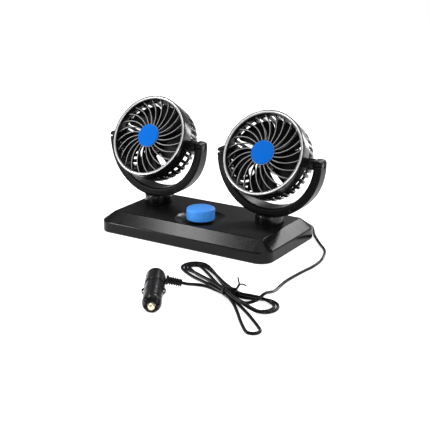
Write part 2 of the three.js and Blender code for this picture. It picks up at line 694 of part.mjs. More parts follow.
// Cord route from the gland round the base's corner and forward along the floor to the hank
const FLOOR_Z = CORD_DIAMETER / 2;
const GLAND_END = BASE_DEPTH / 2 + GLAND_LENGTH + GAP;
const RUN_ROUTE = [
  [GLAND_X, GLAND_END, GLAND_Z], [GLAND_X + 0.2, GLAND_END + 5, 7.1], [90.8, GLAND_END + 10, 5.8],
  [96.2, GLAND_END + 12.2, 4.4], [102.2, GLAND_END + 9.4, 3.2], [106.4, GLAND_END + 4, 2.4],
  [109.7, 69.9, 1.9], [115.7, 59.8, FLOOR_Z], [126.9, 44.8, FLOOR_Z], [137.1, 32.2, FLOOR_Z],
  [148.4, 19.2, FLOOR_Z],
  [154.2, 10, FLOOR_Z], [159.4, -4, FLOOR_Z], [163, -20, FLOOR_Z], [163.4, -40, FLOOR_Z], [161, -60, FLOOR_Z],
  [159.1, -92, FLOOR_Z], [160.6, -110, FLOOR_Z], [163, -121, 2.7], [164.9, -131, 4.6], [165.5, -135.1, 5.45],
];

// The hank lies on its waist: every strand crosses the waist square to it, one pitch apart, in three layers
const WAIST = [130, -161];
const WAIST_HEADING = 150.3;
const STRAND_PITCH = 4.1;
const LAYER = 3.95;
const WAIST_LIFT = 1.2;
// A lobe's heading from the waist, the distance to its end circle's centre, and that circle's radius
const LOBES = {
  leftInner: [145.9, 90.4, 6.3],
  leftMiddle: [145.9, 90.4, 10.4],
  leftOuter: [145.9, 90.4, 14.5],
  rightInner: [-8, 39.5, 13.6],
  rightOuter: [-8, 39.5, 17.7],
  lower: [-44, 86, 7],
};
// The strands in the order that the cord takes: column and layer at the waist, then the layers at a quarter,
// a half and three quarters of the way out to the next lobe, those round the lobe, and those on the way back
const LOBE_STEPS = 6;
const ON_FLOOR = new Array(LOBE_STEPS + 1).fill(0);
const STRANDS = [
  { column: 0.5, layer: 0, out: [0, 0, 0], lobe: 'leftInner', at: ON_FLOOR, back: [0.1, 0.8, 1] },
  {
    column: -0.5, layer: 1, out: [1.15, 1.2, 1.1],
    lobe: 'rightInner', at: [0.55, 0.1, 0, 0, 0, 0, 0.25], back: [0.75, 1, 1],
  },
  { column: 1.5, layer: 1, out: [1, 1, 0.6], lobe: 'leftMiddle', at: ON_FLOOR, back: [1, 1.6, 2] },
  {
    column: -1.5, layer: 2, out: [2, 1.9, 1.65],
    lobe: 'rightOuter', at: [1.05, 0.4, 0.1, 0, 0, 0, 0], back: [0, 0, 0],
  },
  { column: 1.5, layer: 0, out: [0, 0, 0], lobe: 'leftOuter', at: ON_FLOOR, back: [0.1, 0.6, 1] },
  { column: -1.5, layer: 1, out: [0.6, 0.2, 0], lobe: 'lower', at: ON_FLOOR, back: [0, 0, 0] },
];
const LAST_COLUMN = -0.5;
// From the run's end to the first half turn, and from the last waist crossing to the tail
const HANK_START = [
  [165.5, -135.4, 5.5], [165.6, -139, 6.5], [165.6, -144, 7.8], [165.6, -150, 9], [165.4, -156, 8.8],
];
const HANK_TURN = {
  centre: [154.1, -157.5],
  radius: 11.4,
  angles: [-22, -45, -68, -90, -112],
  heights: [7.1, 5.4, 3.9, 2.7, 2.1],
};
const HANK_END = [
  [123.3, -158.9, 2.2], [116.5, -155.9, FLOOR_Z], [110.5, -154.1, FLOOR_Z], [107, -153.3, FLOOR_Z],
];
const TAIL_ROUTE = [
  [106.6, -153.2, FLOOR_Z], [98, -150.8, FLOOR_Z], [89.5, -150.8, 1.85], [82.8, -155, 2.7],
  onRelief(RELIEF_START + RELIEF_LENGTH + 6), onRelief(RELIEF_START + RELIEF_LENGTH + GAP),
];

// A point on the strain relief's axis, at a distance from the middle of the plug's head
function onRelief(distance) {
  const [x, y] = onHeading(RELIEF_HEADING, distance * Math.cos(RELIEF_DROOP * DEGREE));
  return [PLUG_HEAD_X + x, PLUG_HEAD_Y + y, PLUG_HEIGHT - distance * Math.sin(RELIEF_DROOP * DEGREE)];
}

function onHeading(heading, distance) {
  return [distance * Math.cos(heading * DEGREE), distance * Math.sin(heading * DEGREE)];
}

// Points a quarter, a half and three quarters of the way along a curve with given headings at its ends
function easedRun(from, fromHeading, to, toHeading) {
  const reach = Math.hypot(to[0] - from[0], to[1] - from[1]) * 0.38;
  const [ax, ay] = onHeading(fromHeading, reach);
  const [bx, by] = onHeading(toHeading, -reach);
  const curve = new THREE.CubicBezierCurve(
    new THREE.Vector2(...from),
    new THREE.Vector2(from[0] + ax, from[1] + ay),
    new THREE.Vector2(to[0] + bx, to[1] + by),
    new THREE.Vector2(...to),
  );
  return [0.25, 0.5, 0.75].map((t) => curve.getPoint(t));
}

function waistPoint(column) {
  const [x, y] = onHeading(WAIST_HEADING - 90, column * STRAND_PITCH);
  return [WAIST[0] + x, WAIST[1] + y];
}

function hankPoints() {
  const points = HANK_START.map((p) => new THREE.Vector3(...p));
  HANK_TURN.angles.forEach((angle, i) => {
    const [x, y] = onHeading(angle, HANK_TURN.radius);
    points.push(new THREE.Vector3(HANK_TURN.centre[0] + x, HANK_TURN.centre[1] + y, HANK_TURN.heights[i]));
  });
  STRANDS.forEach((strand, i) => {
    const leftward = i % 2 === 0;
    const heading = leftward ? WAIST_HEADING : WAIST_HEADING - 180;
    const [lobeHeading, distance, radius] = LOBES[strand.lobe];
    const [cx, cy] = onHeading(lobeHeading, distance);
    const edge = (turn) => {
      const [x, y] = onHeading(lobeHeading + turn, radius);
      return [WAIST[0] + cx + x, WAIST[1] + cy + y];
    };
    const height = (layer) => FLOOR_Z + layer * LAYER;
    const start = waistPoint(strand.column);
    const next = STRANDS[i + 1]?.column ?? LAST_COLUMN;
    points.push(new THREE.Vector3(start[0], start[1], height(strand.layer) + WAIST_LIFT));
    easedRun(start, heading, edge(-90), lobeHeading).forEach((p, k) => {
      points.push(new THREE.Vector3(p.x, p.y, height(strand.out[k]) + (k === 0 ? WAIST_LIFT * 0.4 : 0)));
    });
    strand.at.forEach((layer, k) => {
      points.push(new THREE.Vector3(...edge(-90 + (180 / LOBE_STEPS) * k), height(layer)));
    });
    easedRun(edge(90), lobeHeading + 180, waistPoint(next), heading + 180).forEach((p, k) => {
      points.push(new THREE.Vector3(p.x, p.y, height(strand.back[k]) + (k === 2 ? WAIST_LIFT * 0.4 : 0)));
    });
  });
  const [x, y] = waistPoint(LAST_COLUMN);
  points.push(new THREE.Vector3(x, y, FLOOR_Z + WAIST_LIFT));
  points.push(...HANK_END.map((p) => new THREE.Vector3(...p)));
  return points;
}

// The least clear distance between parts of a tube that are further apart along it than a few diameters
function leastGap(points, diameter) {
  const samples = [];
  let travelled = 0;
  for (let i = 0; i < points.length - 1; i += 1) {
    const length = points[i].distanceTo(points[i + 1]);
    const pieces = Math.ceil(length);
    for (let k = 0; k < pieces; k += 1) {
      samples.push([points[i].clone().lerp(points[i + 1], k / pieces), travelled + (length * k) / pieces]);
    }
    travelled += length;
  }
  let least = Infinity;
  for (let i = 0; i < samples.length; i += 1) {
    for (let k = i + 1; k < samples.length; k += 1) {
      if (samples[k][1] - samples[i][1] < 5 * diameter) continue;
      least = Math.min(least, samples[i][0].distanceTo(samples[k][0]));
    }
  }
  return { gap: least - diameter, travelled };
}

const hank = hankPoints();
const { gap, travelled } = leastGap(hank, CORD_DIAMETER);
console.log(`hank: ${travelled.toFixed(0)} mm of cord, least gap to itself ${gap.toFixed(2)} mm`);

function smoothCurve(route) {
  return new THREE.CatmullRomCurve3(route.map((p) => new THREE.Vector3(...p)), false, 'centripetal');
}

const runCurve = smoothCurve(RUN_ROUTE);
const tailCurve = smoothCurve(TAIL_ROUTE);
console.log(`cord: ${(runCurve.getLength() + travelled + tailCurve.getLength()).toFixed(0)} mm in all`);

// A path round a convex set of circles, given by their centres in counterclockwise order
function roundHull(centres, radius, steps) {
  return centres.flatMap(([x, y], i) => {
    const [px, py] = centres.at(i - 1);
    const [nx, ny] = centres[(i + 1) % centres.length];
    const from = Math.atan2(px - x, y - py) / DEGREE;
    const turn = (Math.atan2(x - nx, ny - y) / DEGREE - from + 360) % 360;
    return arc(x, y, radius, from, from + turn, steps);
  });
}

// Twist tie: a tight band round the strands at the waist, with its two twisted ends standing off it
const TIE_WIDTH = 3.2;
const TIE_THICKNESS = 0.6;
const TIE_SLACK = 0.45;
const TIE_CORNERS = [[-1.5, 1], [-0.5, 0], [1.5, 0], [1.5, 1], [-1.5, 2]];

function cordTie() {
  const corners = TIE_CORNERS.map(([column, layer]) => [
    column * STRAND_PITCH, FLOOR_Z + layer * LAYER + WAIST_LIFT,
  ]);
  const inside = CORD_DIAMETER / 2 + TIE_SLACK;
  const outline = polygon(roundHull(corners, inside + TIE_THICKNESS, 2));
  outline.holes.push(new THREE.Path(polygon(roundHull(corners, inside, 3)).getPoints()));
  const band = extruded(outline, TIE_WIDTH).translate(0, 0, -TIE_WIDTH / 2);
  band.rotateX(Math.PI / 2).rotateZ(Math.PI / 2);
  const [side, high] = corners[3];
  const stem = smoothCurve([
    [0, side + 1.8, high + 1.8], [0.3, side + 3.6, high + 3.8], [0.6, side + 4.6, high + 5.8],
  ]);
  const ends = [
    [[0.6, side + 4.4, high + 5.4], [-0.6, side + 4.8, high + 9], [-2.4, side + 5, high + 13]],
    [[0.6, side + 4.4, high + 5.4], [2.4, side + 7.4, high + 6.4], [4.6, side + 11, high + 4.8]],
  ].map((route) => tube(smoothCurve(route), 0.7, 3, 6));
  const tie = shape([band, tube(stem, 1, 3, 6), ...ends]);
  return tie.rotateZ(WAIST_HEADING * DEGREE - Math.PI).translate(WAIST[0], WAIST[1], 0);
}

add(fan, 'cord_gland', cordGland(), BLACK_RUBBER);
add(fan, 'cord_run', tube(runCurve, CORD_DIAMETER / 2, 28, 7), BLACK_RUBBER);
add(fan, 'cord_hank', ringTube(hank, CORD_DIAMETER / 2, 6), BLACK_RUBBER);
add(fan, 'cord_tail', tube(tailCurve, CORD_DIAMETER / 2, 8), BLACK_RUBBER);
add(fan, 'cord_tie', cordTie(), BLACK_SATIN);

// Car plug
// Outlines run along the plug's axis from the middle of its domed head towards the tip, which points away
// from the base and lies a little lower than the head
const PLUG_PITCH = 0.6;
const plug = new THREE.Group();
plug.position.set(PLUG_HEAD_X, PLUG_HEAD_Y, PLUG_HEIGHT);
plug.rotation.set(0, (90 + PLUG_PITCH) * DEGREE, PLUG_HEADING * DEGREE, 'ZYX');
fan.add(plug);

const SEAM_AT = 26;
const NOSE_AT = 62;
const PIN_RADIUS = 3.6;
const COLLAR_RADIUS = 4.9;
const FUSE_RADIUS = 3;

function plugHead() {
  return turned([
    [0, -PLUG_HEAD_RADIUS], [4.4, -9.6], [7.9, -7], [10, -3.4], [PLUG_HEAD_RADIUS, 0.5],
    [PLUG_HEAD_RADIUS, SEAM_AT - 2], [PLUG_HEAD_RADIUS - 0.8, SEAM_AT - 1],
    [PLUG_HEAD_RADIUS - 0.8, SEAM_AT - GAP], [0, SEAM_AT - GAP],
  ]);
}

function plugBody() {
  const body = turned([
    [0, SEAM_AT], [PLUG_RADIUS, SEAM_AT], [PLUG_RADIUS, SEAM_AT + 20],
    [PLUG_RADIUS - 0.4, NOSE_AT - GAP], [0, NOSE_AT - GAP],
  ]);
  const bore = rod(FUSE_RADIUS + 0.9, SEAM_AT + 2, NOSE_AT + 1, 16);
  const slots = new THREE.BoxGeometry(3.6, 24, 17.4).translate(0, 0, 36);
  const core = new THREE.BoxGeometry(8, 11, 20).translate(0, 0, 37);
  return shape([body], [bore, shape([slots], [core])]);
}

function plugNose() {
  const wide = COLLAR_RADIUS + GAP;
  const narrow = PIN_RADIUS + GAP;
  return turned([
    [wide, NOSE_AT], [9.6, NOSE_AT], [9.9, NOSE_AT + 2], [9.7, NOSE_AT + 5], [8.6, NOSE_AT + 8.6],
    [6, NOSE_AT + 11], [narrow, NOSE_AT + 11], [narrow, NOSE_AT + 8], [wide, NOSE_AT + 8],
  ]);
}

function plugTipPin() {
  return turned([
    [0, 64.4], [PIN_RADIUS, 64.4], [PIN_RADIUS, NOSE_AT + 6], [COLLAR_RADIUS, NOSE_AT + 6],
    [COLLAR_RADIUS, NOSE_AT + 7.7], [PIN_RADIUS, NOSE_AT + 7.7], [PIN_RADIUS, 75.4], [2.6, 77.4], [0, 78.2],
  ], 20);
}

function plugFuse() {
  return turned([[0, 34.6], [FUSE_RADIUS, 34.6], [FUSE_RADIUS, 64.1], [0, 64.1]], 12);
}

// Side contact: a bent strip that stands out of the body's slot
function plugContact(side) {
  const strip = extruded(polygon([
    [9.4, 28], [10, 28], [12.4, 34], [12.4, 37], [10, 44],
    [9.4, 44], [9.4, 42], [10.6, 37], [10.6, 34], [9.4, 30],
  ]), 2.6).translate(0, 0, -1.3).rotateX(Math.PI / 2);
  return strip.rotateZ(side * 90 * DEGREE);
}

// Ribbed strain relief, square to the plug's axis, between the head and the cord's tail
function plugRelief() {
  const outline = [[0, RELIEF_START], [5.2, RELIEF_START], [5.2, RELIEF_START + 2.4]];
  const pitch = (RELIEF_LENGTH - 2.4) / RELIEF_RIBS;
  for (let i = 0; i < RELIEF_RIBS; i += 1) {
    const at = RELIEF_START + 2.4 + i * pitch;
    outline.push([3.6, at + 0.4], [3.6, at + pitch * 0.45]);
    outline.push([4.9, at + pitch * 0.55], [4.9, at + pitch * 0.95]);
  }
  outline.push([0, RELIEF_START + RELIEF_LENGTH]);
  const sleeve = turned(outline, 8);
  sleeve.rotateY((90 + RELIEF_DROOP) * DEGREE).rotateZ(RELIEF_HEADING * DEGREE);
  return sleeve.translate(PLUG_HEAD_X, PLUG_HEAD_Y, PLUG_HEIGHT);
}

add(plug, 'plug_head', plugHead(), BLACK_SATIN);
add(plug, 'plug_body', plugBody(), BLACK_SATIN);
add(plug, 'plug_nose', plugNose(), BLACK_SATIN);
add(plug, 'plug_tip_pin', plugTipPin(), BRASS);
add(plug, 'plug_fuse', plugFuse(), BRIGHT_STEEL);
for (const [name, side] of [['left', -1], ['right', 1]]) {
  add(plug, `plug_contact_${name}`, plugContact(side), BRIGHT_STEEL);
}
add(fan, 'plug_strain_relief', plugRelief(), BLACK_RUBBER);

export default fan;
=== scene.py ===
"""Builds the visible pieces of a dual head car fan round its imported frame, with their materials and stage.

Shapes are worked out in millimetres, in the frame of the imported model: +Z is up, the fans blow towards -Y,
and +X is the base's right end. A piece's points are turned into metres when its mesh is made.
"""

import math

import bpy
import numpy as np
from mathutils import Matrix, Vector


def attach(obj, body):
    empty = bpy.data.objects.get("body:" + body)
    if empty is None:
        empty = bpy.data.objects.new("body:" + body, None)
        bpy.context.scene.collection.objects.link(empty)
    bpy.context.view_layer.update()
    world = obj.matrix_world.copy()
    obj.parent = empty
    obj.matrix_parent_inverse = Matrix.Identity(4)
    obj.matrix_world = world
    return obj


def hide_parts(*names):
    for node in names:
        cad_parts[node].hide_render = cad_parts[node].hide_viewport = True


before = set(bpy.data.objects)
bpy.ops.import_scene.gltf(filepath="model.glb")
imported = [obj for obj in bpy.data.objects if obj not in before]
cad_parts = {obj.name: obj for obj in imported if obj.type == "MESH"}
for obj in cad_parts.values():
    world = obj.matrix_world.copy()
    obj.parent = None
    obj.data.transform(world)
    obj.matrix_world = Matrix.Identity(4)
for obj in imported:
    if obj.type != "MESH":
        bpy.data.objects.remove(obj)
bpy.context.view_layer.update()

bl_info = {
    "name": "Dual Head Car Fan",
    "version": (1, 0, 0),
    "blender": (4, 5, 0),
    "location": "3D View > Sidebar > Car Fan",
    "description": "Builds the visible pieces of a dual head car fan round its packed frame",
    "category": "Add Mesh",
}

MM = 0.001
SIDES = {"left": -1, "right": 1}
# Edges that turn by more degrees than this are shaded sharp
SHARP_ANGLE = 35.0

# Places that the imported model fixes, in millimetres and degrees
KNOB_PLACE = (2.0, -16.5)
POST_X = 79.8
POST_Y = 12.5
POST_FOOT = 25.4
PIVOT_HEIGHT = 102.4
HEAD_TILT = 29.0
GLAND_PLACE = (88.0, 62.8, 7.7)
GLAND_LENGTH = 8.0
PLUG_PLACE = (49.8, -177.5, 10.9)
PLUG_HEADING = -58.0
PLUG_PITCH = 0.6
PLUG_SEAM = 26.0
PLUG_NOSE = 62.0
RELIEF_HEADING = PLUG_HEADING + 90.0
RELIEF_DROOP = 12.0
RELIEF_START = 10.9
RELIEF_LENGTH = 17.0
WAIST = (130.0, -161.0)
WAIST_HEADING = 150.3
STRAND_PITCH = 4.1
LAYER = 3.95
WAIST_LIFT = 1.2


# Properties that a user would change

def length(label, words, millimetres):
    return bpy.props.FloatProperty(
        name=label, description=words, default=millimetres * MM, min=0.0, unit="LENGTH")


def turn(label, words, degrees):
    return bpy.props.FloatProperty(
        name=label, description=words, default=math.radians(degrees), unit="ROTATION")


def count(label, words, number):
    return bpy.props.IntProperty(name=label, description=words, default=number, min=1)


def share(label, words, number):
    return bpy.props.FloatProperty(
        name=label, description=words, default=number, min=0.0, max=1.0, subtype="FACTOR")


def power(label, words, watts):
    return bpy.props.FloatProperty(name=label, description=words, default=watts, min=0.0, unit="POWER")


def tint(label, words, colour):
    return bpy.props.FloatVectorProperty(
        name=label, description=words, default=colour, size=3, min=0.0, max=1.0, subtype="COLOR")


class BaseSizes(bpy.types.PropertyGroup):
    """Sizes of the base, its dish and the knob."""
    top_length: length("Top length", "Length of the flat top", 206.3)
    top_depth: length("Top depth", "Depth of the flat top", 96.0)
    top_corner: length("Top corner", "Corner radius of the flat top's outline", 1.5)
    bevel_inset: length("Bevel reach", "How far the bevel runs out to the sides", 14.8)
    bevel_height: length("Bevel height", "Height of the bevel", 10.9)
    side_height: length("Side height", "Height of the upright side", 13.3)
    wall: length("Wall", "Thickness of the cover's wall", 2.2)
    rim_lift: length("Rim lift", "How far the cover's rim stays off the floor", 0.4)
    dish_radius: length("Dish radius", "Radius of the dish round the knob", 31.0)
    dish_depth: length("Dish depth", "Depth of the dish round the knob", 4.0)
    knob_radius: length("Knob radius", "Radius of the speed knob", 17.1)
    knob_bottom: length("Knob bottom", "Height of the knob's lower edge", 23.4)
    knob_top: length("Knob top", "Height of the knob's top", 37.6)


class YokeSizes(bpy.types.PropertyGroup):
    """Sizes of the U-shaped yokes and their swivel posts."""
    outer: length("Outer radius", "Radius of the yoke's outer face", 68.5)
    inner: length("Inner radius", "Radius of the yoke's inner face", 58.0)
    width_top: length("Arm width", "Width of the arms at the pivot", 14.5)
    width_bottom: length("Foot width", "Width of the yoke at its foot", 22.0)
    arm_rise: length("Arm rise", "How far the arms stand above the pivot", 6.0)
    arm_corner: length("Arm corner", "Radius of the arms' outer corner", 4.0)
    slot: length("Slot", "Width of the snap slot in each arm", 2.4)
    post_radius: length("Post radius", "Radius of the swivel post", 17.1)


class HeadSizes(bpy.types.PropertyGroup):
    """Sizes of the fan heads, along the fan's own axis from the tilt axis."""
    ring_front: length("Ring front", "Front of the trim ring", 23.4)
    ring_outer: length("Ring outer radius", "Outer radius of the trim ring", 50.0)
    ring_inner: length("Ring inner radius", "Inner radius of the trim ring", 47.2)
    band_outer: length("Band radius", "Outer radius of the housing's band", 51.0)
    badge_radius: length("Badge radius", "Radius of the bare hub badge", 14.25)
    spokes: count("Spokes", "Curved spokes in each front grille", 24)
    spoke_sweep: turn("Spoke sweep", "How far each spoke turns on its way out", 26.0)
    ribs: count("Cage ribs", "Ribs round each rear cage", 36)
    blades: count("Blades", "Blades on each fan wheel", 5)
    blade_width: turn("Blade width", "How much of a turn each blade covers", 65.0)
    blade_tip: length("Blade tip", "Radius of the blades' tips", 44.0)


class CordSizes(bpy.types.PropertyGroup):
    """Sizes of the cord and the car plug."""
    diameter: length("Cord diameter", "Diameter of the cord", 3.5)
    plug_head_radius: length("Plug head radius", "Radius of the plug's domed head", 10.6)
    plug_radius: length("Plug radius", "Radius of the plug's body", 10.0)
    relief_ribs: count("Relief ribs", "Ribs on the plug's strain relief", 6)


class Finishes(bpy.types.PropertyGroup):
    """Colours and gloss of the pieces."""
    gloss_black: tint("Gloss black", "Colour of the base and the housings", (0.004, 0.004, 0.0042))
    satin_black: tint("Satin black", "Colour of the yokes, grilles and wheels", (0.003, 0.003, 0.003))
    blue: tint("Blue", "Colour of the speed knob", (0.06, 0.34, 1.0))
    badge_blue: tint("Badge blue", "Colour of the hub badges", (0.001, 0.14, 0.62))
    silver: tint("Silver", "Colour of the trim rings", (0.82, 0.83, 0.85))
    cord_black: tint("Cord black", "Colour of the cord", (0.002, 0.002, 0.002))
    brass: tint("Tip brass", "Colour of the plug's tip", (0.86, 0.76, 0.53))
    gloss: share("Gloss roughness", "Roughness of the base and the housings", 0.2)


class StageSettings(bpy.types.PropertyGroup):
    """Camera and light."""
    lens: bpy.props.FloatProperty(
        name="Lens", description="Focal length of the camera", default=82.2, subtype="DISTANCE_CAMERA")
    azimuth: turn("Camera azimuth", "How far the camera stands round to the right of the front", 32.05)
    elevation: turn("Camera elevation", "How far the camera looks down", 17.77)
    place: bpy.props.FloatVectorProperty(
        name="Camera place", description="Where the camera stands", default=(0.6099, -0.9554, 0.3862), size=3,
        unit="LENGTH")
    key: power("Key light", "Power of the large light overhead", 4.5)
    side: power("Side lights", "Full power of a side light", 3.4)
    world: share("World", "Strength of the light from all round", 0.25)


def of(group, name):
    """A length property in millimetres."""
    return getattr(group, name) / MM


# Surfaces on grids

def unit(vectors):
    """Each vector over its own length."""
    return vectors / np.linalg.norm(vectors, axis=1)[:, None]


def full_turn(steps):
    """Even angles round a full turn, up to the last before the first comes again."""
    return np.arange(steps) / steps * 2 * math.pi


def polar(radius, angle, height):
    """Points at a radius and an angle round the Z axis and at a height, each a number or an array."""
    return np.stack(np.broadcast_arrays(radius * np.cos(angle), radius * np.sin(angle), height), -1)


def outline(corners, reach, steps=4, loop=True):
    """Softens a polyline: each corner becomes a quadratic curve from the point `reach` before it to the point
    `reach` after it. An open polyline keeps its two ends."""
    points = np.asarray(corners, float)
    reach = np.broadcast_to(np.asarray(reach, float), len(points))[:, None]
    start = points + unit(np.roll(points, 1, 0) - points) * reach
    end = points + unit(np.roll(points, -1, 0) - points) * reach
    t = np.linspace(0, 1, steps + 1)[None, :, None]
    curve = (1 - t) ** 2 * start[:, None] + 2 * t * (1 - t) * points[:, None] + t**2 * end[:, None]
    if loop:
        return curve.reshape(-1, points.shape[1])
    return np.concatenate([points[:1], curve[1:-1].reshape(-1, points.shape[1]), points[-1:]])


def softened(rows, steps=4, loop=True):
    """A softened polyline from rows of (first number, second number, how far that corner is softened)."""
    rows = np.asarray(rows, float)
    return outline(rows[:, :2], rows[:, 2], steps, loop)


def rectangle(low, high, reach, steps=3):
    """A softened rectangle between its lowest and its highest corner."""
    corners = [(low[0], low[1]), (high[0], low[1]), (high[0], high[1]), (low[0], high[1])]
    return outline(corners, reach, steps)


def grid_faces(rows, columns, wrap_rows):
    """Four-sided faces between neighbours on a grid whose columns close on themselves."""
    i, j = np.meshgrid(np.arange(rows if wrap_rows else rows - 1), np.arange(columns), indexing="ij")
    after = (j + 1) % columns
    below = (i + 1) % rows
    corners = [i * columns + j, i * columns + after, below * columns + after, below * columns + j]
    return np.stack(corners, -1).reshape(-1, 4)


def volume(points, quads, triangles):
    """Six times the signed volume inside the faces, from the triple product of each triangle's corners."""
    every = np.concatenate([quads[:, [0, 1, 2]], quads[:, [0, 2, 3]], triangles])
    a, b, c = (points[every[:, k]] for k in range(3))
    return float(np.einsum("ij,ij->i", a, np.cross(b, c)).sum())


def surface(grid, ring=False, poles=None):
    """A closed surface from a grid (rows, columns, 3) whose columns close on themselves. With ring the rows
    do too. Otherwise a fan closes each end at its pole, which is the middle of the end row where none is
    given."""
    rows, columns = grid.shape[:2]
    points = grid.reshape(-1, 3)
    quads = grid_faces(rows, columns, ring)
    triangles = np.zeros((0, 3), int)
    if not ring:
        ends = (grid[0].mean(0), grid[-1].mean(0)) if poles is None else poles
        first = np.arange(columns)
        second = (first + 1) % columns
        last = (rows - 1) * columns
        middle = len(points)
        points = np.concatenate([points, np.asarray(ends, float)])
        start_fan = np.stack([np.full(columns, middle), second, first], 1)
        end_fan = np.stack([np.full(columns, middle + 1), last + first, last + second], 1)
        triangles = np.concatenate([start_fan, end_fan])
    if volume(points - points.mean(0), quads, triangles) < 0:
        quads = quads[:, ::-1]
        triangles = triangles[:, ::-1]
    return points, quads, triangles


def turned(profile, steps=64):
    """Carries a profile of (radius, height) round the Z axis. A profile that starts and ends on the axis is
    closed by poles there, and any other is a ring."""
    profile = np.asarray(profile, float)
    on_axis = profile[0, 0] < 1e-9 and profile[-1, 0] < 1e-9
    rows = profile[1:-1] if on_axis else profile
    poles = [(0, 0, profile[0, 1]), (0, 0, profile[-1, 1])] if on_axis else None
    return surface(polar(rows[:, :1], full_turn(steps), rows[:, 1:]), ring=not on_axis, poles=poles)


def lathe(rows, steps, soft_steps=4):
    """Softens a profile of rows (radius, height, how far that corner is softened) and turns it. A profile
    that starts and ends on the axis is open."""
    on_axis = rows[0][0] == 0 and rows[-1][0] == 0
    return turned(softened(rows, soft_steps, loop=not on_axis), steps)


def swept(path, section, across, up, ring=False):
    """Carries a section along a path: each point is the path's own point plus the section's first number
    times `across` and its second times `up`. Section, across and up may each change along the path."""
    path = np.asarray(path, float)
    section = np.broadcast_to(section, (len(path),) + np.shape(section)[-2:])
    across = np.broadcast_to(across, path.shape)[:, None]
    up = np.broadcast_to(up, path.shape)[:, None]
    return surface(path[:, None] + section[..., :1] * across + section[..., 1:] * up, ring=ring)


def square_to(path, axis):
    """Unit vectors that stand square to a path's direction and to an axis: their cross product."""
    return unit(np.cross(np.gradient(path, axis=0), axis))


def tube(path, radius, sides=14):
    """A round tube: at each of the path's points a circle stands square to the path, with two sides level."""
    across = square_to(path, (0, 0, 1.0))
    up = np.cross(across, unit(np.gradient(path, axis=0)))
    circle = polar(radius, full_turn(sides), 0)[:, :2]
    return swept(path, circle, across, up)


def block(low, high, soft=0.4):
    """A box with softened upright edges, as a soft square carried along Z, drawn in a little at both ends."""
    low = np.asarray(low, float)
    high = np.asarray(high, float)
    half = (high - low) / 2
    square = rectangle(-half[:2], half[:2], soft)
    edge = np.array([0, soft * 0.3, soft])
    level = np.concatenate([low[2] + edge, high[2] - edge[::-1]])
    shrink = 1 - np.concatenate([edge[::-1], edge])[:, None] / half[None, :2]
    flat = square[None] * shrink[:, None] + (low + high)[:2] / 2
    height = np.broadcast_to(level[:, None, None], (len(level), len(square), 1))
    return surface(np.concatenate([flat, height], -1))


def placed(part, matrix):
    """A surface moved by a matrix whose translation is in millimetres."""
    points, quads, triangles = part
    matrix = np.asarray(matrix, float)
    return points @ matrix[:3, :3].T + matrix[:3, 3], quads, triangles


def joined(parts):
    """Several surfaces as one."""
    starts = np.cumsum([0] + [len(points) for points, _, _ in parts[:-1]])
    return (
        np.concatenate([points for points, _, _ in parts]),
        np.concatenate([quads + start for (_, quads, _), start in zip(parts, starts)]),
        np.concatenate([triangles + start for (_, _, triangles), start in zip(parts, starts)]),
    )


def repeated(part, number, first=0.0):
    """Copies of a surface at even turns round the Z axis, in one surface."""
    turns = full_turn(number) + first
    return joined([placed(part, Matrix.Rotation(angle, 4, "Z")) for angle in turns])


def spline(points, spacing, cuts=24):
    """A smooth curve through points, centripetal Catmull-Rom: between two points it blends the lines
    through its four neighbours, with knots as far apart as the square root of the distances. Each stretch
    gets `cuts` points, and the whole is cut again into even steps."""
    points = np.asarray(points, float)
    padded = np.concatenate([[2 * points[0] - points[1]], points, [2 * points[-1] - points[-2]]])
    p = [padded[k:len(padded) - 3 + k] for k in range(4)]
    knots = [np.zeros(len(p[0]))]
    for k in range(3):
        knots.append(knots[-1] + np.sqrt(np.linalg.norm(p[k + 1] - p[k], axis=1)))
    knots = [knot[:, None, None] for knot in knots]
    t = knots[1] + (knots[2] - knots[1]) * np.linspace(0, 1, cuts, endpoint=False)[None, :, None]

    def between(a, b, start, end):
        span = knots[end] - knots[start]
        return a * (knots[end] - t) / span + b * (t - knots[start]) / span

    lines = [between(p[k][:, None], p[k + 1][:, None], k, k + 1) for k in range(3)]
    blends = [between(lines[k], lines[k + 1], k, k + 2) for k in range(2)]
    curve = np.concatenate([between(*blends, 1, 2).reshape(-1, 3), points[-1:]])
    travelled = np.concatenate([[0], np.cumsum(np.linalg.norm(np.diff(curve, axis=0), axis=1))])
    even = np.linspace(0, travelled[-1], int(round(travelled[-1] / spacing)) + 1)
    return np.stack([np.interp(even, travelled, curve[:, k]) for k in range(3)], 1)


# Frames that the pieces are placed by

def shift(x, y, z):
    return Matrix.Translation((x, y, z))


def pivot_frame(side):
    """The tilt axis of one head: X runs along it and Z is up."""
    return shift(side * POST_X, POST_Y, PIVOT_HEIGHT)


def head_frame(side):
    """One head's own frame: Z is the fan's axis, towards the front."""
    return pivot_frame(side) @ Matrix.Rotation(math.radians(90 - HEAD_TILT), 4, "X")


def pointed_frame(heading_degrees, droop_degrees):
    """A frame at the middle of the plug's head: Z runs out on a heading, and down by a droop."""
    level = Matrix.Rotation(math.radians(heading_degrees), 4, "Z")
    return shift(*PLUG_PLACE) @ level @ Matrix.Rotation(math.radians(90 + droop_degrees), 4, "Y")


def plug_frame():
    """The plug's own frame: Z runs from the middle of its head towards the tip."""
    return pointed_frame(PLUG_HEADING, PLUG_PITCH)


def relief_frame():
    """The strain relief's own frame: Z runs from the middle of the plug's head out along the relief."""
    return pointed_frame(RELIEF_HEADING, RELIEF_DROOP)


# Meshes

def add_object(name, data):
    """A new object in the scene that holds a mesh, a light or the camera."""
    obj = bpy.data.objects.new(name, data)
    bpy.context.scene.collection.objects.link(obj)
    return obj


def new_mesh(name, points, faces):
    mesh = bpy.data.meshes.new(name)
    mesh.from_pydata(points, [], faces)
    return mesh


def mesh_object(name, part):
    """A surface as an object in metres."""
    points, quads, triangles = part
    return add_object(name, new_mesh(name, (points * MM).tolist(), quads.tolist() + triangles.tolist()))


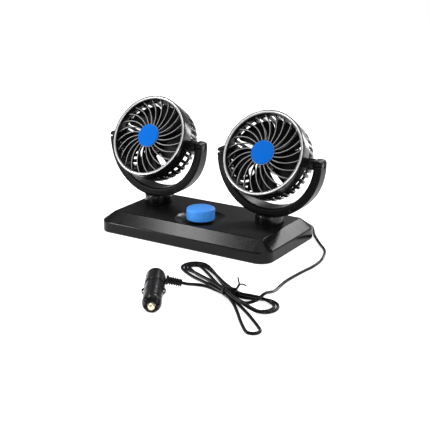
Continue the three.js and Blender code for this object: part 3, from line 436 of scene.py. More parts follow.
def make(name, parts, finish, body, replaced, place=None, sharp=SHARP_ANGLE):
    """One object from closed surfaces, moved to their place, with its finish, its body and the nodes that
    it stands for."""
    if place is not None:
        parts = [placed(part, place) for part in parts]
    obj = mesh_object(name, joined(parts))
    obj.data.validate()
    finish_mesh(obj, MATERIALS[finish], sharp)
    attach(obj, body)
    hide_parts(*replaced)
    return obj


def finish_mesh(obj, material, sharp):
    obj.data.shade_smooth()
    obj.data.set_sharp_from_angle(angle=math.radians(sharp))
    obj.data.materials.clear()
    obj.data.materials.append(material)


def cut(obj, tools, place, sharp=SHARP_ANGLE):
    """Takes closed surfaces, moved to their place, away from a finished piece."""
    material = obj.data.materials[0]
    helpers = [mesh_object("tool", placed(tool, place)) for tool in tools]
    for helper in helpers:
        modifier = obj.modifiers.new("cut", "BOOLEAN")
        modifier.operation = "DIFFERENCE"
        modifier.solver = "EXACT"
        modifier.object = helper
    bpy.context.view_layer.update()
    result = bpy.data.meshes.new_from_object(obj.evaluated_get(bpy.context.evaluated_depsgraph_get()))
    obj.modifiers.clear()
    obj.data = result
    for helper in helpers:
        bpy.data.objects.remove(helper)
    finish_mesh(obj, material, sharp)


# Shader groups

MIDDLE_GREY = (0.5, 0.5, 0.5, 1)
PALE_GREY = (0.8, 0.8, 0.8, 1)
DUST_GREY = (0.5, 0.48, 0.45, 1)


def node_group(name, inputs, outputs):
    """An empty shader node group with its sockets, and its input and output nodes."""
    tree = bpy.data.node_groups.new(name, "ShaderNodeTree")
    for label, kind, default in inputs:
        socket = tree.interface.new_socket(name=label, in_out="INPUT", socket_type="NodeSocket" + kind)
        socket.default_value = default
    for label, kind in outputs:
        tree.interface.new_socket(name=label, in_out="OUTPUT", socket_type="NodeSocket" + kind)
    return tree, tree.nodes.new("NodeGroupInput"), tree.nodes.new("NodeGroupOutput")


def feed(tree, socket, value):
    """Links another socket into an input, or sets the input to a plain value."""
    if isinstance(value, bpy.types.NodeSocket):
        tree.links.new(value, socket)
    else:
        socket.default_value = value


def math_node(tree, operation, *values, clamp=False):
    """A Math node whose inputs are sockets or plain numbers."""
    node = tree.nodes.new("ShaderNodeMath")
    node.operation = operation
    node.use_clamp = clamp
    for socket, value in zip(node.inputs, values):
        feed(tree, socket, value)
    return node.outputs[0]


def vector_node(tree, operation, first, second):
    """A Vector Math node on two sockets. A scale's second socket is a number, and a dot product gives one."""
    node = tree.nodes.new("ShaderNodeVectorMath")
    node.operation = operation
    tree.links.new(first, node.inputs[0])
    tree.links.new(second, node.inputs["Scale"] if operation == "SCALE" else node.inputs[1])
    return node.outputs["Value"] if operation == "DOT_PRODUCT" else node.outputs[0]


def mixed_colour(tree, factor, first, second):
    node = tree.nodes.new("ShaderNodeMix")
    node.data_type = "RGBA"
    tree.links.new(factor, node.inputs[0])
    tree.links.new(first, node.inputs[6])
    tree.links.new(second, node.inputs[7])
    return node.outputs[2]


def noise(tree, vector, scale, detail=3.0, roughness=0.5):
    node = tree.nodes.new("ShaderNodeTexNoise")
    node.inputs["Detail"].default_value = detail
    node.inputs["Roughness"].default_value = roughness
    tree.links.new(vector, node.inputs["Vector"])
    feed(tree, node.inputs["Scale"], scale)
    return node.outputs["Fac"]


def object_place(tree):
    """Object coordinates."""
    return tree.nodes.new("ShaderNodeTexCoord").outputs["Object"]


def object_facing(tree):
    """The direction that a face looks in, in the object's own axes."""
    return tree.nodes.new("ShaderNodeTexCoord").outputs["Normal"]


def layer_group(name, label, colour, inputs):
    """A group that lays a second colour over the first, where its mask lets it."""
    return node_group(
        name, [("Color", "Color", MIDDLE_GREY), (label, "Color", colour), *inputs],
        [("Color", "Color"), ("Mask", "Float")])


def close_layer(nodes, label, first, second):
    """Ends such a group: its mask is the product of two factors and the group's own Amount."""
    tree, source, result = nodes
    mask = math_node(tree, "MULTIPLY", first, second)
    mask = math_node(tree, "MULTIPLY", mask, source.outputs["Amount"], clamp=True)
    colour = mixed_colour(tree, mask, source.outputs["Color"], source.outputs[label])
    tree.links.new(colour, result.inputs["Color"])
    tree.links.new(mask, result.inputs["Mask"])
    return tree


def moulded_skin_group():
    """Moulded plastic: the colour and roughness drift slowly, and a fine grain gives the height."""
    tree, source, result = node_group(
        "Moulded skin",
        [("Color", "Color", MIDDLE_GREY), ("Drift", "Float", 0.1), ("Roughness", "Float", 0.4),
         ("Spread", "Float", 0.1), ("Grain Scale", "Float", 1500.0)],
        [("Color", "Color"), ("Roughness", "Float"), ("Height", "Float")])
    place = object_place(tree)
    swing = math_node(tree, "SUBTRACT", noise(tree, place, scale=38.0, detail=4.0), 0.5)
    tone = math_node(tree, "MULTIPLY_ADD", swing, source.outputs["Drift"], 1.0)
    tree.links.new(vector_node(tree, "SCALE", source.outputs["Color"], tone), result.inputs["Color"])
    patches = noise(tree, place, scale=90.0, detail=5.0, roughness=0.6)
    swing = math_node(tree, "SUBTRACT", patches, 0.5)
    swing = math_node(tree, "MULTIPLY", swing, source.outputs["Spread"])
    rough = math_node(tree, "ADD", source.outputs["Roughness"], swing, clamp=True)
    tree.links.new(rough, result.inputs["Roughness"])
    tree.links.new(noise(tree, place, source.outputs["Grain Scale"], detail=2.0), result.inputs["Height"])
    return tree


def rubbed_edge_and_highlight_group():
    """Handled edges: where the surface is sharpest outwards and a noise lets it, a paler colour shows. It is
    partly rubbed by handling and partly a painted highlight along the edges."""
    nodes = layer_group(
        "Rubbed edges and painted highlights", "Worn Color", PALE_GREY,
        [("Amount", "Float", 0.5), ("Start", "Float", 0.53), ("Width", "Float", 0.05)])
    tree, source, _ = nodes
    edge = tree.nodes.new("ShaderNodeNewGeometry").outputs["Pointiness"]
    edge = math_node(tree, "SUBTRACT", edge, source.outputs["Start"])
    edge = math_node(tree, "DIVIDE", edge, source.outputs["Width"], clamp=True)
    patches = noise(tree, object_place(tree), scale=120.0, detail=4.0, roughness=0.6)
    broken = math_node(tree, "MULTIPLY_ADD", patches, 0.6, 0.55, clamp=True)
    return close_layer(nodes, "Worn Color", edge, broken)


def settled_dust_group():
    """Light dust: faces that look up, in soft patches with a few specks."""
    nodes = layer_group("Settled dust", "Dust Color", DUST_GREY, [("Amount", "Float", 0.03)])
    tree = nodes[0]
    split = tree.nodes.new("ShaderNodeSeparateXYZ")
    tree.links.new(object_facing(tree), split.inputs[0])
    upward = math_node(tree, "MAXIMUM", split.outputs["Z"], 0.0)
    place = object_place(tree)
    patches = noise(tree, place, scale=22.0, detail=6.0, roughness=0.7)
    specks = math_node(tree, "GREATER_THAN", noise(tree, place, scale=620.0, detail=1.0), 0.74)
    return close_layer(nodes, "Dust Color", math_node(tree, "ADD", patches, specks), upward)


def hairline_group():
    """Fine tool marks or scratches: noise drawn out along one axis of the object."""
    tree, source, result = node_group(
        "Hairlines",
        [("Stretch", "Vector", (1.0, 1.0, 0.02)), ("Scale", "Float", 900.0), ("Strength", "Float", 0.1)],
        [("Roughness", "Float"), ("Height", "Float")])
    drawn = vector_node(tree, "MULTIPLY", object_place(tree), source.outputs["Stretch"])
    line = noise(tree, drawn, source.outputs["Scale"], detail=2.0, roughness=0.7)
    rough = math_node(tree, "MULTIPLY", line, source.outputs["Strength"])
    tree.links.new(rough, result.inputs["Roughness"])
    tree.links.new(line, result.inputs["Height"])
    return tree


def facing_group():
    """Faces that look along a given direction of the object, with a soft limit. The colour that it lays on
    them is a painted highlight.
    """
    nodes = layer_group(
        "Facing one way", "Lit Color", PALE_GREY,
        [("Direction", "Vector", (0.0, 0.0, 1.0)), ("Limit", "Float", 0.8), ("Amount", "Float", 1.0)])
    tree, source, _ = nodes
    toward = vector_node(tree, "DOT_PRODUCT", object_facing(tree), source.outputs["Direction"])
    above = math_node(tree, "SUBTRACT", toward, source.outputs["Limit"])
    soft = math_node(tree, "MULTIPLY", above, 8.0, clamp=True)
    patches = noise(tree, object_place(tree), scale=60.0)
    broken = math_node(tree, "MULTIPLY_ADD", patches, 0.7, 0.55, clamp=True)
    return close_layer(nodes, "Lit Color", soft, broken)


GROUPS = {}


def group_node(tree, name, **values):
    """A group placed in a material, with its own values or linked sockets."""
    node = tree.nodes.new("ShaderNodeGroup")
    node.node_tree = GROUPS[name]
    for label, value in values.items():
        feed(tree, node.inputs[label.replace("_", " ")], value)
    return node


# Materials

# How deep a full bump is, in metres
PLASTIC_GRAIN = 0.0004
METAL_GRAIN = 0.0003


def four(colour):
    return (*colour[:3], 1.0)


def new_material(name):
    """A material with its node tree and its shader."""
    material = bpy.data.materials.new(name)
    material.use_nodes = True
    return material, material.node_tree, material.node_tree.nodes["Principled BSDF"]


def add_bump(tree, shader, height, strength, distance):
    lift = tree.nodes.new("ShaderNodeBump")
    lift.inputs["Strength"].default_value = strength
    lift.inputs["Distance"].default_value = distance
    tree.links.new(height, lift.inputs["Height"])
    tree.links.new(lift.outputs["Normal"], shader.inputs["Normal"])


def plastic(name, colour, roughness, spread=0.08, drift=0.25, grain=1500.0, bump=0.03, worn_and_highlight_colour=None, wear_and_highlight_amount=0.0,
            dust=0.0, specular=0.5, painted_highlight=None, textured_top=0.0, sheen=1.0):
    """Moulded plastic or rubber, with grain, paler edges that are partly rubbed and partly painted
    highlights, and dust. `painted_highlight` is a pair of a direction and the paler colour painted as a
    highlight on the faces that look along it. `textured_top` is how much rougher the faces are that look up,
    and `sheen` is a grey that multiplies the reflection."""
    material, tree, shader = new_material(name)
    skin = group_node(
        tree, "skin", Color=four(colour), Drift=drift, Roughness=roughness, Spread=spread, Grain_Scale=grain)
    coat = skin
    # The sharpest outward edges get a paler colour: partly rubbed by handling, partly a painted highlight
    if wear_and_highlight_amount:
        coat = group_node(tree, "edges", Color=coat.outputs["Color"], Worn_Color=four(worn_and_highlight_colour), Amount=wear_and_highlight_amount)
    # Faces that look along the given direction get a paler colour: a painted highlight
    if painted_highlight:
        coat = group_node(
            tree, "facing", Color=coat.outputs["Color"], Direction=painted_highlight[0], Lit_Color=four(painted_highlight[1]))
    if dust:
        coat = group_node(tree, "dust", Color=coat.outputs["Color"], Amount=dust)
    tree.links.new(coat.outputs["Color"], shader.inputs["Base Color"])
    rough = skin.outputs["Roughness"]
    if textured_top:
        upward = group_node(tree, "facing", Direction=(0, 0, 1), Limit=0.95, Amount=textured_top)
        rough = math_node(tree, "ADD", rough, upward.outputs["Mask"], clamp=True)
    tree.links.new(rough, shader.inputs["Roughness"])
    add_bump(tree, shader, skin.outputs["Height"], bump, PLASTIC_GRAIN)
    shader.inputs["Specular IOR Level"].default_value = specular
    shader.inputs["Specular Tint"].default_value = four((sheen, sheen, sheen))
    return material


def metal(name, colour, roughness, strength=0.12, metallic=1.0):
    """Metal or metallic plating with hairlines."""
    material, tree, shader = new_material(name)
    skin = group_node(
        tree, "skin", Color=four(colour), Drift=0.12, Roughness=roughness, Spread=0.06, Grain_Scale=1200.0)
    lines = group_node(tree, "lines", Strength=strength)
    tree.links.new(skin.outputs["Color"], shader.inputs["Base Color"])
    rough = math_node(tree, "ADD", skin.outputs["Roughness"], lines.outputs["Roughness"], clamp=True)
    tree.links.new(rough, shader.inputs["Roughness"])
    add_bump(tree, shader, lines.outputs["Height"], 0.02, METAL_GRAIN)
    shader.inputs["Metallic"].default_value = metallic
    return material


MATERIALS = {}


def make_materials(finishes):
    """Builds each shared group once, and each material of the object."""
    GROUPS.update(skin=moulded_skin_group(), edges=rubbed_edge_and_highlight_group(), dust=settled_dust_group(),
                  lines=hairline_group(), facing=facing_group())
    fan_axis = head_frame(1).to_3x3() @ Vector((0, 0, 1))
    gloss, satin = finishes.gloss_black, finishes.satin_black
    # The paler edge colours of the base, housings, yoke and knob are partly rubbed by handling and partly
    # painted edge highlights
    worn_and_highlight_grey = (0.16, 0.16, 0.165)
    MATERIALS.update(
        base=plastic("Base gloss black", gloss, finishes.gloss, bump=0.02, worn_and_highlight_colour=worn_and_highlight_grey, wear_and_highlight_amount=0.6,
                     dust=0.008, specular=0.16, textured_top=0.8),
        housing=plastic("Housing gloss black", gloss, finishes.gloss, worn_and_highlight_colour=worn_and_highlight_grey, wear_and_highlight_amount=0.25,
                        specular=0.35),
        yoke=plastic("Yoke satin black", satin, 0.34, grain=900.0, bump=0.05, worn_and_highlight_colour=(0.2, 0.2, 0.2), wear_and_highlight_amount=0.12,
                     dust=0.003, specular=0.14, sheen=0.5),
        # The spoke fronts, faces that look along the fan's axis, are painted pale grey: a painted highlight
        grille=plastic("Grille black", satin, 0.3, specular=0.2, painted_highlight=(fan_axis, (0.4, 0.4, 0.4))),
        wheel=plastic("Wheel black", satin, 0.4, specular=0.12),
        knob=plastic("Knob blue", finishes.blue, 0.45, drift=0.08, worn_and_highlight_colour=(0.35, 0.65, 1.0), wear_and_highlight_amount=0.8,
                     specular=0.3, bump=0.05),
        badge=plastic("Badge blue", finishes.badge_blue, 0.5, drift=0.05, specular=0.06),
        silver=metal("Trim ring silver", finishes.silver, 0.3, metallic=0.5, strength=0.05),
        rubber=plastic("Pad foam", (0.012, 0.012, 0.012), 0.85, grain=700.0, bump=0.3, specular=0.2),
        washer=plastic("Washer rubber", (0.006, 0.006, 0.006), 0.8, grain=700.0, bump=0.2, specular=0.15),
        cord=plastic("Cord vinyl", finishes.cord_black, 0.24, spread=0.1, grain=420.0, bump=0.04, dust=0.003,
                     specular=0.3, sheen=0.45),
        plug=plastic("Plug black", satin, 0.3, spread=0.04, grain=700.0, bump=0.008, specular=0.3, sheen=0.5),
        relief=plastic("Relief vinyl", (0.003, 0.003, 0.003), 0.45, grain=700.0, bump=0.08, specular=0.25),
        steel=metal("Bright steel", (0.62, 0.63, 0.64), 0.28),
        brass=metal("Pale brass", finishes.brass, 0.3, strength=0.08, metallic=0.7),
        ceramic=plastic("Ceramic", (0.78, 0.75, 0.68), 0.7, grain=900.0, bump=0.15),
        ferrite=plastic("Ferrite", (0.03, 0.03, 0.032), 0.6, grain=1100.0, bump=0.2),
    )


def pair(name):
    return tuple(f"{name}_{side}" for side in SIDES)


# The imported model's own nodes that stay as they are, under the material that each gets
CARRIED_OVER = {
    "base": ("switch_body",),
    "yoke": ("base_bottom_cover",),
    "rubber": pair("adhesive_pad"),
    "washer": ("supply_wire", *pair("fan_wire"), *pair("swivel_washer")),
    "steel": (
        "base_screw_1", "base_screw_2", "base_screw_3", "base_screw_4", "switch_shaft", "switch_nut",
        "plug_fuse", *pair("yoke_retainer"), *pair("motor_can"), *pair("motor_rotor")),
    "ceramic": ("speed_resistor", *pair("motor_end_cap")),
    "ferrite": pair("motor_magnets"),
}


# The cord's route

# Height of the cord's middle where it lies on the floor
CORD_FLOOR = 1.75
# From the gland's end the cord drops to the floor, runs along it, and climbs to the hank
DOWN_FROM_GLAND = [
    (88, 71.1, 7.7), (88.2, 76.1, 7.1), (90.8, 81.1, 5.8), (96.2, 83.3, 4.4), (102.2, 80.5, 3.2),
    (106.4, 75.1, 2.4), (109.7, 69.9, 1.9),
]
ALONG_FLOOR = [
    (115.7, 59.8), (126.9, 44.8), (137.1, 32.2), (148.4, 19.2), (154.2, 10), (159.4, -4), (163, -20),
    (163.4, -40), (161, -60), (159.1, -92), (160.6, -110),
]
UP_TO_HANK = [
    (163, -121, 2.7), (164.9, -131, 4.6), (165.5, -135.1, 5.45), (165.6, -139, 6.5), (165.6, -144, 7.8),
    (165.6, -150, 9), (165.4, -156, 8.8),
]
# The last half turn before the first strand: its middle, radius, turns in degrees and heights
INTO_HANK = ((154.1, -157.5), 11.4, (-22, -45, -68, -90, -112), (7.1, 5.4, 3.9, 2.7, 2.1))
# A lobe's heading from the waist, the distance to its end circle's middle, and that circle's radius
LOBES = {
    "left inner": (145.9, 90.4, 6.3),
    "left middle": (145.9, 90.4, 10.4),
    "left outer": (145.9, 90.4, 14.5),
    "right inner": (-8.0, 39.5, 13.6),
    "right outer": (-8.0, 39.5, 17.7),
    "lower": (-44.0, 86.0, 7.0),
}
# Each strand: its column and layer at the waist, the layers on its way out, its lobe and the layers round it,
# and the layers on its way back
STRANDS = [
    (0.5, 0, (0, 0, 0), "left inner", (0, 0, 0, 0, 0, 0, 0), (0.1, 0.8, 1)),
    (-0.5, 1, (1.15, 1.2, 1.1), "right inner", (0.55, 0.1, 0, 0, 0, 0, 0.25), (0.75, 1, 1)),
    (1.5, 1, (1, 1, 0.6), "left middle", (0, 0, 0, 0, 0, 0, 0), (1, 1.6, 2)),
    (-1.5, 2, (2, 1.9, 1.65), "right outer", (1.05, 0.4, 0.1, 0, 0, 0, 0), (0, 0, 0)),
    (1.5, 0, (0, 0, 0), "left outer", (0, 0, 0, 0, 0, 0, 0), (0.1, 0.6, 1)),
    (-1.5, 1, (0.6, 0.2, 0), "lower", (0, 0, 0, 0, 0, 0, 0), (0, 0, 0)),
]
LAST_COLUMN = -0.5
# From the waist to the plug's strain relief
TOWARD_PLUG = [
    (123.3, -158.9, 2.2), (116.5, -155.9, CORD_FLOOR), (110.5, -154.1, CORD_FLOOR),
    (106.6, -153.2, CORD_FLOOR), (98, -150.8, CORD_FLOOR), (89.5, -150.8, 1.85), (82.8, -155, 2.7),
]
# Where the cord comes onto the relief's axis, from the relief's outer end, and where it runs on inside the
# plug's head, across and along the plug
CORD_ON_RELIEF = (6.0, 0.3, -7.0, -14.0)
CORD_IN_PLUG = ((0.0, 14.0), (0.0, 22.0))
# How long a curve's handles are, as a share of the way between its ends
HANDLE_SHARE = 0.38


def heading(degrees, distance=1.0):
    """A level vector on a heading."""
    degrees = np.radians(degrees)
    return np.stack([np.cos(degrees), np.sin(degrees)], -1) * distance


def eased(start, start_heading, end, end_heading):
    """Points a quarter, a half and three quarters of the way along a cubic curve that leaves and arrives on
    given headings."""
    reach = np.linalg.norm(end - start) * HANDLE_SHARE
    handles = [start, start + heading(start_heading, reach), end - heading(end_heading, reach), end]
    t = np.array([0.25, 0.5, 0.75])[:, None]
    weights = [(1 - t) ** 3, 3 * t * (1 - t) ** 2, 3 * t**2 * (1 - t), t**3]
    return sum(w * h for w, h in zip(weights, handles))


def with_heights(places, heights):
    """Level places with a height for each, or with one for all."""
    return np.column_stack([places, np.broadcast_to(heights, len(places))])


def on_layer(layers):
    """The height of the cord's middle on a layer of the hank."""
    return CORD_FLOOR + np.array(layers) * LAYER


def waist_place(column):
    """Where a column of strands crosses the hank's waist."""
    return WAIST + heading(WAIST_HEADING - 90, column * STRAND_PITCH)


def cord_route():
    """The points of the whole cord: from the gland along the floor, through the hank's strands and lobes,
    and to the plug's strain relief."""
    middle, turn_radius, turns, heights = INTO_HANK
    route = [
        np.array(DOWN_FROM_GLAND), with_heights(ALONG_FLOOR, CORD_FLOOR), np.array(UP_TO_HANK),
        with_heights(middle + heading(np.array(turns), turn_radius), heights),
    ]
    columns = [strand[0] for strand in STRANDS] + [LAST_COLUMN]
    lift = np.array([WAIST_LIFT * 0.4, 0, 0])
    for i, (column, layer, out, lobe, at, back) in enumerate(STRANDS):
        along = WAIST_HEADING if i % 2 == 0 else WAIST_HEADING - 180
        lobe_heading, distance, lobe_radius = LOBES[lobe]
        centre = WAIST + heading(lobe_heading, distance)
        edge = centre + heading(lobe_heading + np.linspace(-90, 90, len(at)), lobe_radius)
        start = waist_place(column)
        end = waist_place(columns[i + 1])
        way_out = eased(start, along, edge[0], lobe_heading)
        way_back = eased(edge[-1], lobe_heading + 180, end, along + 180)
        route += [
            with_heights(start[None], on_layer(layer) + WAIST_LIFT),
            with_heights(way_out, on_layer(out) + lift),
            with_heights(edge, on_layer(at)),
            with_heights(way_back, on_layer(back) + lift[::-1]),
        ]
    relief_end = RELIEF_START + RELIEF_LENGTH
    route += [
        with_heights(waist_place(LAST_COLUMN)[None], CORD_FLOOR + WAIST_LIFT), np.array(TOWARD_PLUG),
        np.array([relief_frame() @ Vector((0, 0, relief_end + d)) for d in CORD_ON_RELIEF]),
        np.array([plug_frame() @ Vector((across, 0, along)) for across, along in CORD_IN_PLUG]),
    ]
    return np.concatenate(route)


# The stage

SENSOR_WIDTH = 36.0
NEAREST_SEEN = 0.05
FLOOR_GREY = 0.9
FLOOR_REACH = 12.0
# How far the floor is lifted for the camera and for reflections
FLOOR_GLOW = 0.78
# The large light overhead: its place, what it points at, and its width and height
OVERHEAD_LIGHT = ((0.1, 0.1, 1.3), (0.05, 0, 0.05), (1.2, 1.0))
# Each side light: its place, what it points at, its width and height, and its share of the side lights' power
SIDE_LIGHTS = {
    "front left strip": ((-0.46, -0.53, 0.14), (-0.08, -0.05, 0.03), (0.07, 0.26), 0.7),
    "left soft box": ((-0.41, -0.10, 0.69), (-0.01, -0.055, 0.02), (0.4, 0.1), 0.7),
    "back soft box": ((0.27, 0.75, 0.48), (0.11, 0, 0.02), (0.28, 0.12), 0.3),
    "far back soft box": ((-0.06, 0.75, 0.62), (-0.02, -0.02, 0.02), (0.25, 0.25), 0.8),
    "right low strip": ((0.75, -0.55, 0.13), (0.11, -0.05, 0.02), (0.09, 0.24), 0.5),
    "right strip": ((0.75, -0.06, 0.25), (0, 0, 0.04), (0.09, 0.4), 0.2),
    "right soft box": ((1.1, 0.1, 0.65), (0, 0, 0.1), (0.25, 0.6), 0.6),
    "low back soft box": ((0.21, 0.9, 0.13), (0.1, 0, 0.12), (0.14, 0.2), 0.25),
}


def add_camera(stage):
    """The camera's axes follow from its azimuth and elevation: right is level, back points from the fan to
    it."""
    azimuth, elevation = stage.azimuth, stage.elevation
    right = Vector((math.cos(azimuth), math.sin(azimuth), 0))
    level = math.cos(elevation)
    back = Vector((math.sin(azimuth) * level, -math.cos(azimuth) * level, math.sin(elevation)))
    data = bpy.data.cameras.new("camera")
    data.lens = stage.lens
    data.sensor_width = SENSOR_WIDTH
    data.clip_start = NEAREST_SEEN
    camera = add_object("camera", data)
    axes = Matrix((right, back.cross(right), back)).transposed()
    camera.matrix_world = Matrix.Translation(stage.place) @ axes.to_4x4()
    bpy.context.scene.camera = camera


def add_floor():
    """A wide pale floor that keeps the shadow. To the camera and in reflections it is lifted to white."""
    material, tree, shader = new_material("Floor pale")
    tree.nodes.remove(shader)
    diffuse = tree.nodes.new("ShaderNodeBsdfDiffuse")
    diffuse.inputs["Color"].default_value = four((FLOOR_GREY, FLOOR_GREY, FLOOR_GREY))
    glow = tree.nodes.new("ShaderNodeEmission")
    glow.inputs["Color"].default_value = (1, 1, 1, 1)
    path = tree.nodes.new("ShaderNodeLightPath")
    seen = math_node(tree, "MAXIMUM", path.outputs["Is Camera Ray"], path.outputs["Is Glossy Ray"])
    seen = math_node(tree, "MAXIMUM", seen, path.outputs["Is Transmission Ray"])
    tree.links.new(math_node(tree, "MULTIPLY", seen, FLOOR_GLOW), glow.inputs["Strength"])
    both = tree.nodes.new("ShaderNodeAddShader")
    tree.links.new(diffuse.outputs[0], both.inputs[0])
    tree.links.new(glow.outputs[0], both.inputs[1])
    tree.links.new(both.outputs[0], tree.nodes["Material Output"].inputs["Surface"])
    corners = [(x * FLOOR_REACH, y * FLOOR_REACH, 0) for x, y in ((-1, -1), (1, -1), (1, 1), (-1, 1))]
    mesh = new_mesh("floor", corners, [(0, 1, 2, 3)])
    mesh.materials.append(material)
    floor = add_object("floor", mesh)


def add_area(name, place, target, size, watts):
    """A rectangular light that points at a target."""
    data = bpy.data.lights.new(name, "AREA")
    data.shape = "RECTANGLE"
    data.size, data.size_y = size
    data.energy = watts
    lamp = add_object(name, data)
    toward = Vector(target) - Vector(place)
    lamp.matrix_world = Matrix.Translation(place) @ toward.to_track_quat("-Z", "Y").to_matrix().to_4x4()


def add_lights(stage):
    add_area("overhead light", *OVERHEAD_LIGHT, stage.key)
    for name, (place, target, size, part) in SIDE_LIGHTS.items():
        add_area(name, place, target, size, part * stage.side)
    world = bpy.data.worlds.new("World")
    bpy.context.scene.world = world
    world.use_nodes = True
    backing = world.node_tree.nodes["Background"]
    backing.inputs["Color"].default_value = (1, 1, 1, 1)
    backing.inputs["Strength"].default_value = stage.world


# Operators

def settings():
    return bpy.context.scene.car_fan


class CARFAN_OT_materials(bpy.types.Operator):
    """Make every material, and give the carried-over nodes theirs"""
    bl_idname = "car_fan.materials"
    bl_label = "Materials"

    def execute(self, context):
        make_materials(settings().finishes)
        for key, names in CARRIED_OVER.items():
            for name in names:
                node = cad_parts[name]
                node.data.materials.clear()
                node.data.materials.append(MATERIALS[key])
        return {"FINISHED"}


class CARFAN_OT_stage(bpy.types.Operator):
    """Set the camera, the floor, the lights and the world"""
    bl_idname = "car_fan.stage"
    bl_label = "Stage"

    def execute(self, context):
        stage = settings().stage
        add_camera(stage)
        add_floor()
        add_lights(stage)
        context.scene.view_settings.view_transform = "Standard"
        return {"FINISHED"}


class CARFAN_OT_cord(bpy.types.Operator):
    """Lay the cord from the gland through its tied hank to the plug"""
    bl_idname = "car_fan.cord"
    bl_label = "Cord"

    def execute(self, context):
        diameter = of(settings().cord, "diameter")
        path = spline(cord_route(), 1.6)
        cord = make("cord_lead", [tube(path, diameter / 2)], "cord", "base",
                    ("cord_run", "cord_hank", "cord_tail"))
        return {"FINISHED"}


class CARFAN_OT_gland(bpy.types.Operator):
    """Make the tapered gland where the cord leaves the base"""
    bl_idname = "car_fan.gland"
    bl_label = "Cord gland"

    def execute(self, context):
        sleeve = lathe([
            (0, -4, 0.1), (3.4, -4, 0.3), (3.4, 0.3, 0.1), (4.6, 0.3, 0.3), (4.6, 1.7, 0.3), (3.8, 2.6, 0.3),
            (2.85, GLAND_LENGTH, 0.4), (0, GLAND_LENGTH, 0.1)], steps=40)
        place = shift(*GLAND_PLACE) @ Matrix.Rotation(-math.pi / 2, 4, "X")
        make("gland_sleeve", [sleeve], "relief", "base", ("cord_gland",), place)
        return {"FINISHED"}


class CARFAN_OT_tie(bpy.types.Operator):
    """Wrap the twist tie round the hank's waist"""
    bl_idname = "car_fan.tie"
    bl_label = "Cord tie"

    def execute(self, context):
        place = shift(*WAIST, 0) @ Matrix.Rotation(math.radians(WAIST_HEADING) - math.pi, 4, "Z")
        make("cord_tie_wrap", tie_parts(), "relief", "base", ("cord_tie",), place)
        return {"FINISHED"}


def tie_parts():
    """The tie in the waist's own frame, where X runs along the strands: a flat strip goes tightly round the
    strands' corner circles, and two wires twist about each other and part."""
    steps, strip_radius, twist_radius, wire_radius = 7, 2.45, 0.6, 0.85
    corners = np.array([(-1.5, 1), (-0.5, 0), (1.5, 0), (1.5, 1), (-1.5, 2)]) * (STRAND_PITCH, LAYER)
    corners += (0, CORD_FLOOR + WAIST_LIFT)
    edge = np.roll(corners, -1, 0) - corners
    facing = np.arctan2(-edge[:, 0], edge[:, 1])
    start = np.roll(facing, 1)
    turn_by = (facing - start) % (2 * math.pi)
    angle = (start[:, None] + turn_by[:, None] * np.linspace(0, 1, steps)).reshape(-1)
    outward = np.stack([np.zeros_like(angle), np.cos(angle), np.sin(angle)], 1)
    path = np.column_stack([np.zeros(len(angle)), np.repeat(corners, steps, 0)]) + outward * strip_radius
    strip = rectangle((-1.7, -0.3), (1.7, 0.3), 0.2, 2)
    parts = [swept(path, strip, (1.0, 0, 0), outward, ring=True)]
    side, high = corners[3]
    stem = spline(
        [(0, side + 1.9, high + 1.9), (0.3, side + 3.6, high + 3.8), (0.6, side + 4.6, high + 5.8)], 0.3)
    free_ends = {
        0.0: [(-0.6, side + 4.8, high + 9), (-2.4, side + 5, high + 13)],
        math.pi: [(2.4, side + 7.4, high + 6.4), (4.6, side + 11, high + 4.8)],
    }
    for first_turn, end in free_ends.items():
        twist = stem + polar(twist_radius, np.linspace(0, 2.6 * math.pi, len(stem)) + first_turn, 0)
        parts.append(tube(spline(np.concatenate([twist[::2], np.array(end)]), 0.4), wire_radius, 8))
    return parts


class CARFAN_OT_plug(bpy.types.Operator):
    """Make the car plug with its strain relief, side springs and tip"""
    bl_idname = "car_fan.plug"
    bl_label = "Car plug"

    def execute(self, context):
        sizes = settings().cord
        place = plug_frame()
        dome = plug_dome(of(sizes, "plug_head_radius"))
        make("plug_dome", [dome], "plug", "base", ("plug_head",), place)
        barrel = plug_barrel(of(sizes, "plug_radius"))
        obj = make("plug_barrel", [barrel], "plug", "base", ("plug_body",), place)
        windows = [
            block((-1.8, side * 8.2 - 3, PLUG_SEAM + 1.4), (1.8, side * 8.2 + 3, PLUG_SEAM + 18.8), 0.5)
            for side in SIDES.values()]
        cut(obj, windows, place)
        obj = make("plug_crown", [plug_crown()], "plug", "base", ("plug_nose",), place)
        notch = block((5.6, -0.9, PLUG_NOSE + 8.7), (11, 0.9, PLUG_NOSE + 14), 0.3)
        cut(obj, [repeated(notch, 8, 0.2)], place)
        make("plug_tip", [plug_tip()], "brass", "plug_tip", ("plug_tip_pin",), place)
        for name, side in SIDES.items():
            sideways = place @ Matrix.Rotation(side * math.pi / 2, 4, "Z")
            make(f"plug_spring_{name}", [side_spring()], "relief", f"contact_{name}",
                 (f"plug_contact_{name}",), sideways)
        sleeve = relief_sleeve(sizes.relief_ribs)
        make("plug_sleeve", [sleeve], "relief", "base", ("plug_strain_relief",),
             relief_frame())
        return {"FINISHED"}


def plug_dome(radius):
    """The plug's head: a half circle turned about the axis, and a straight side with a step at the seam."""
    angle = np.radians(np.linspace(-88, 0, 14))
    dome = np.stack([radius * np.cos(angle), radius * np.sin(angle)], 1)
    side = softened([
        (*dome[-1], 0.1), (radius, PLUG_SEAM - 2.6, 0.5), (radius - 0.8, PLUG_SEAM - 1.4, 0.3),
        (radius - 0.8, PLUG_SEAM - 0.3, 0.3), (0, PLUG_SEAM - 0.3, 0.1)], loop=False)
    return turned(np.concatenate([[(0, -radius)], dome, side[1:]]), steps=64)


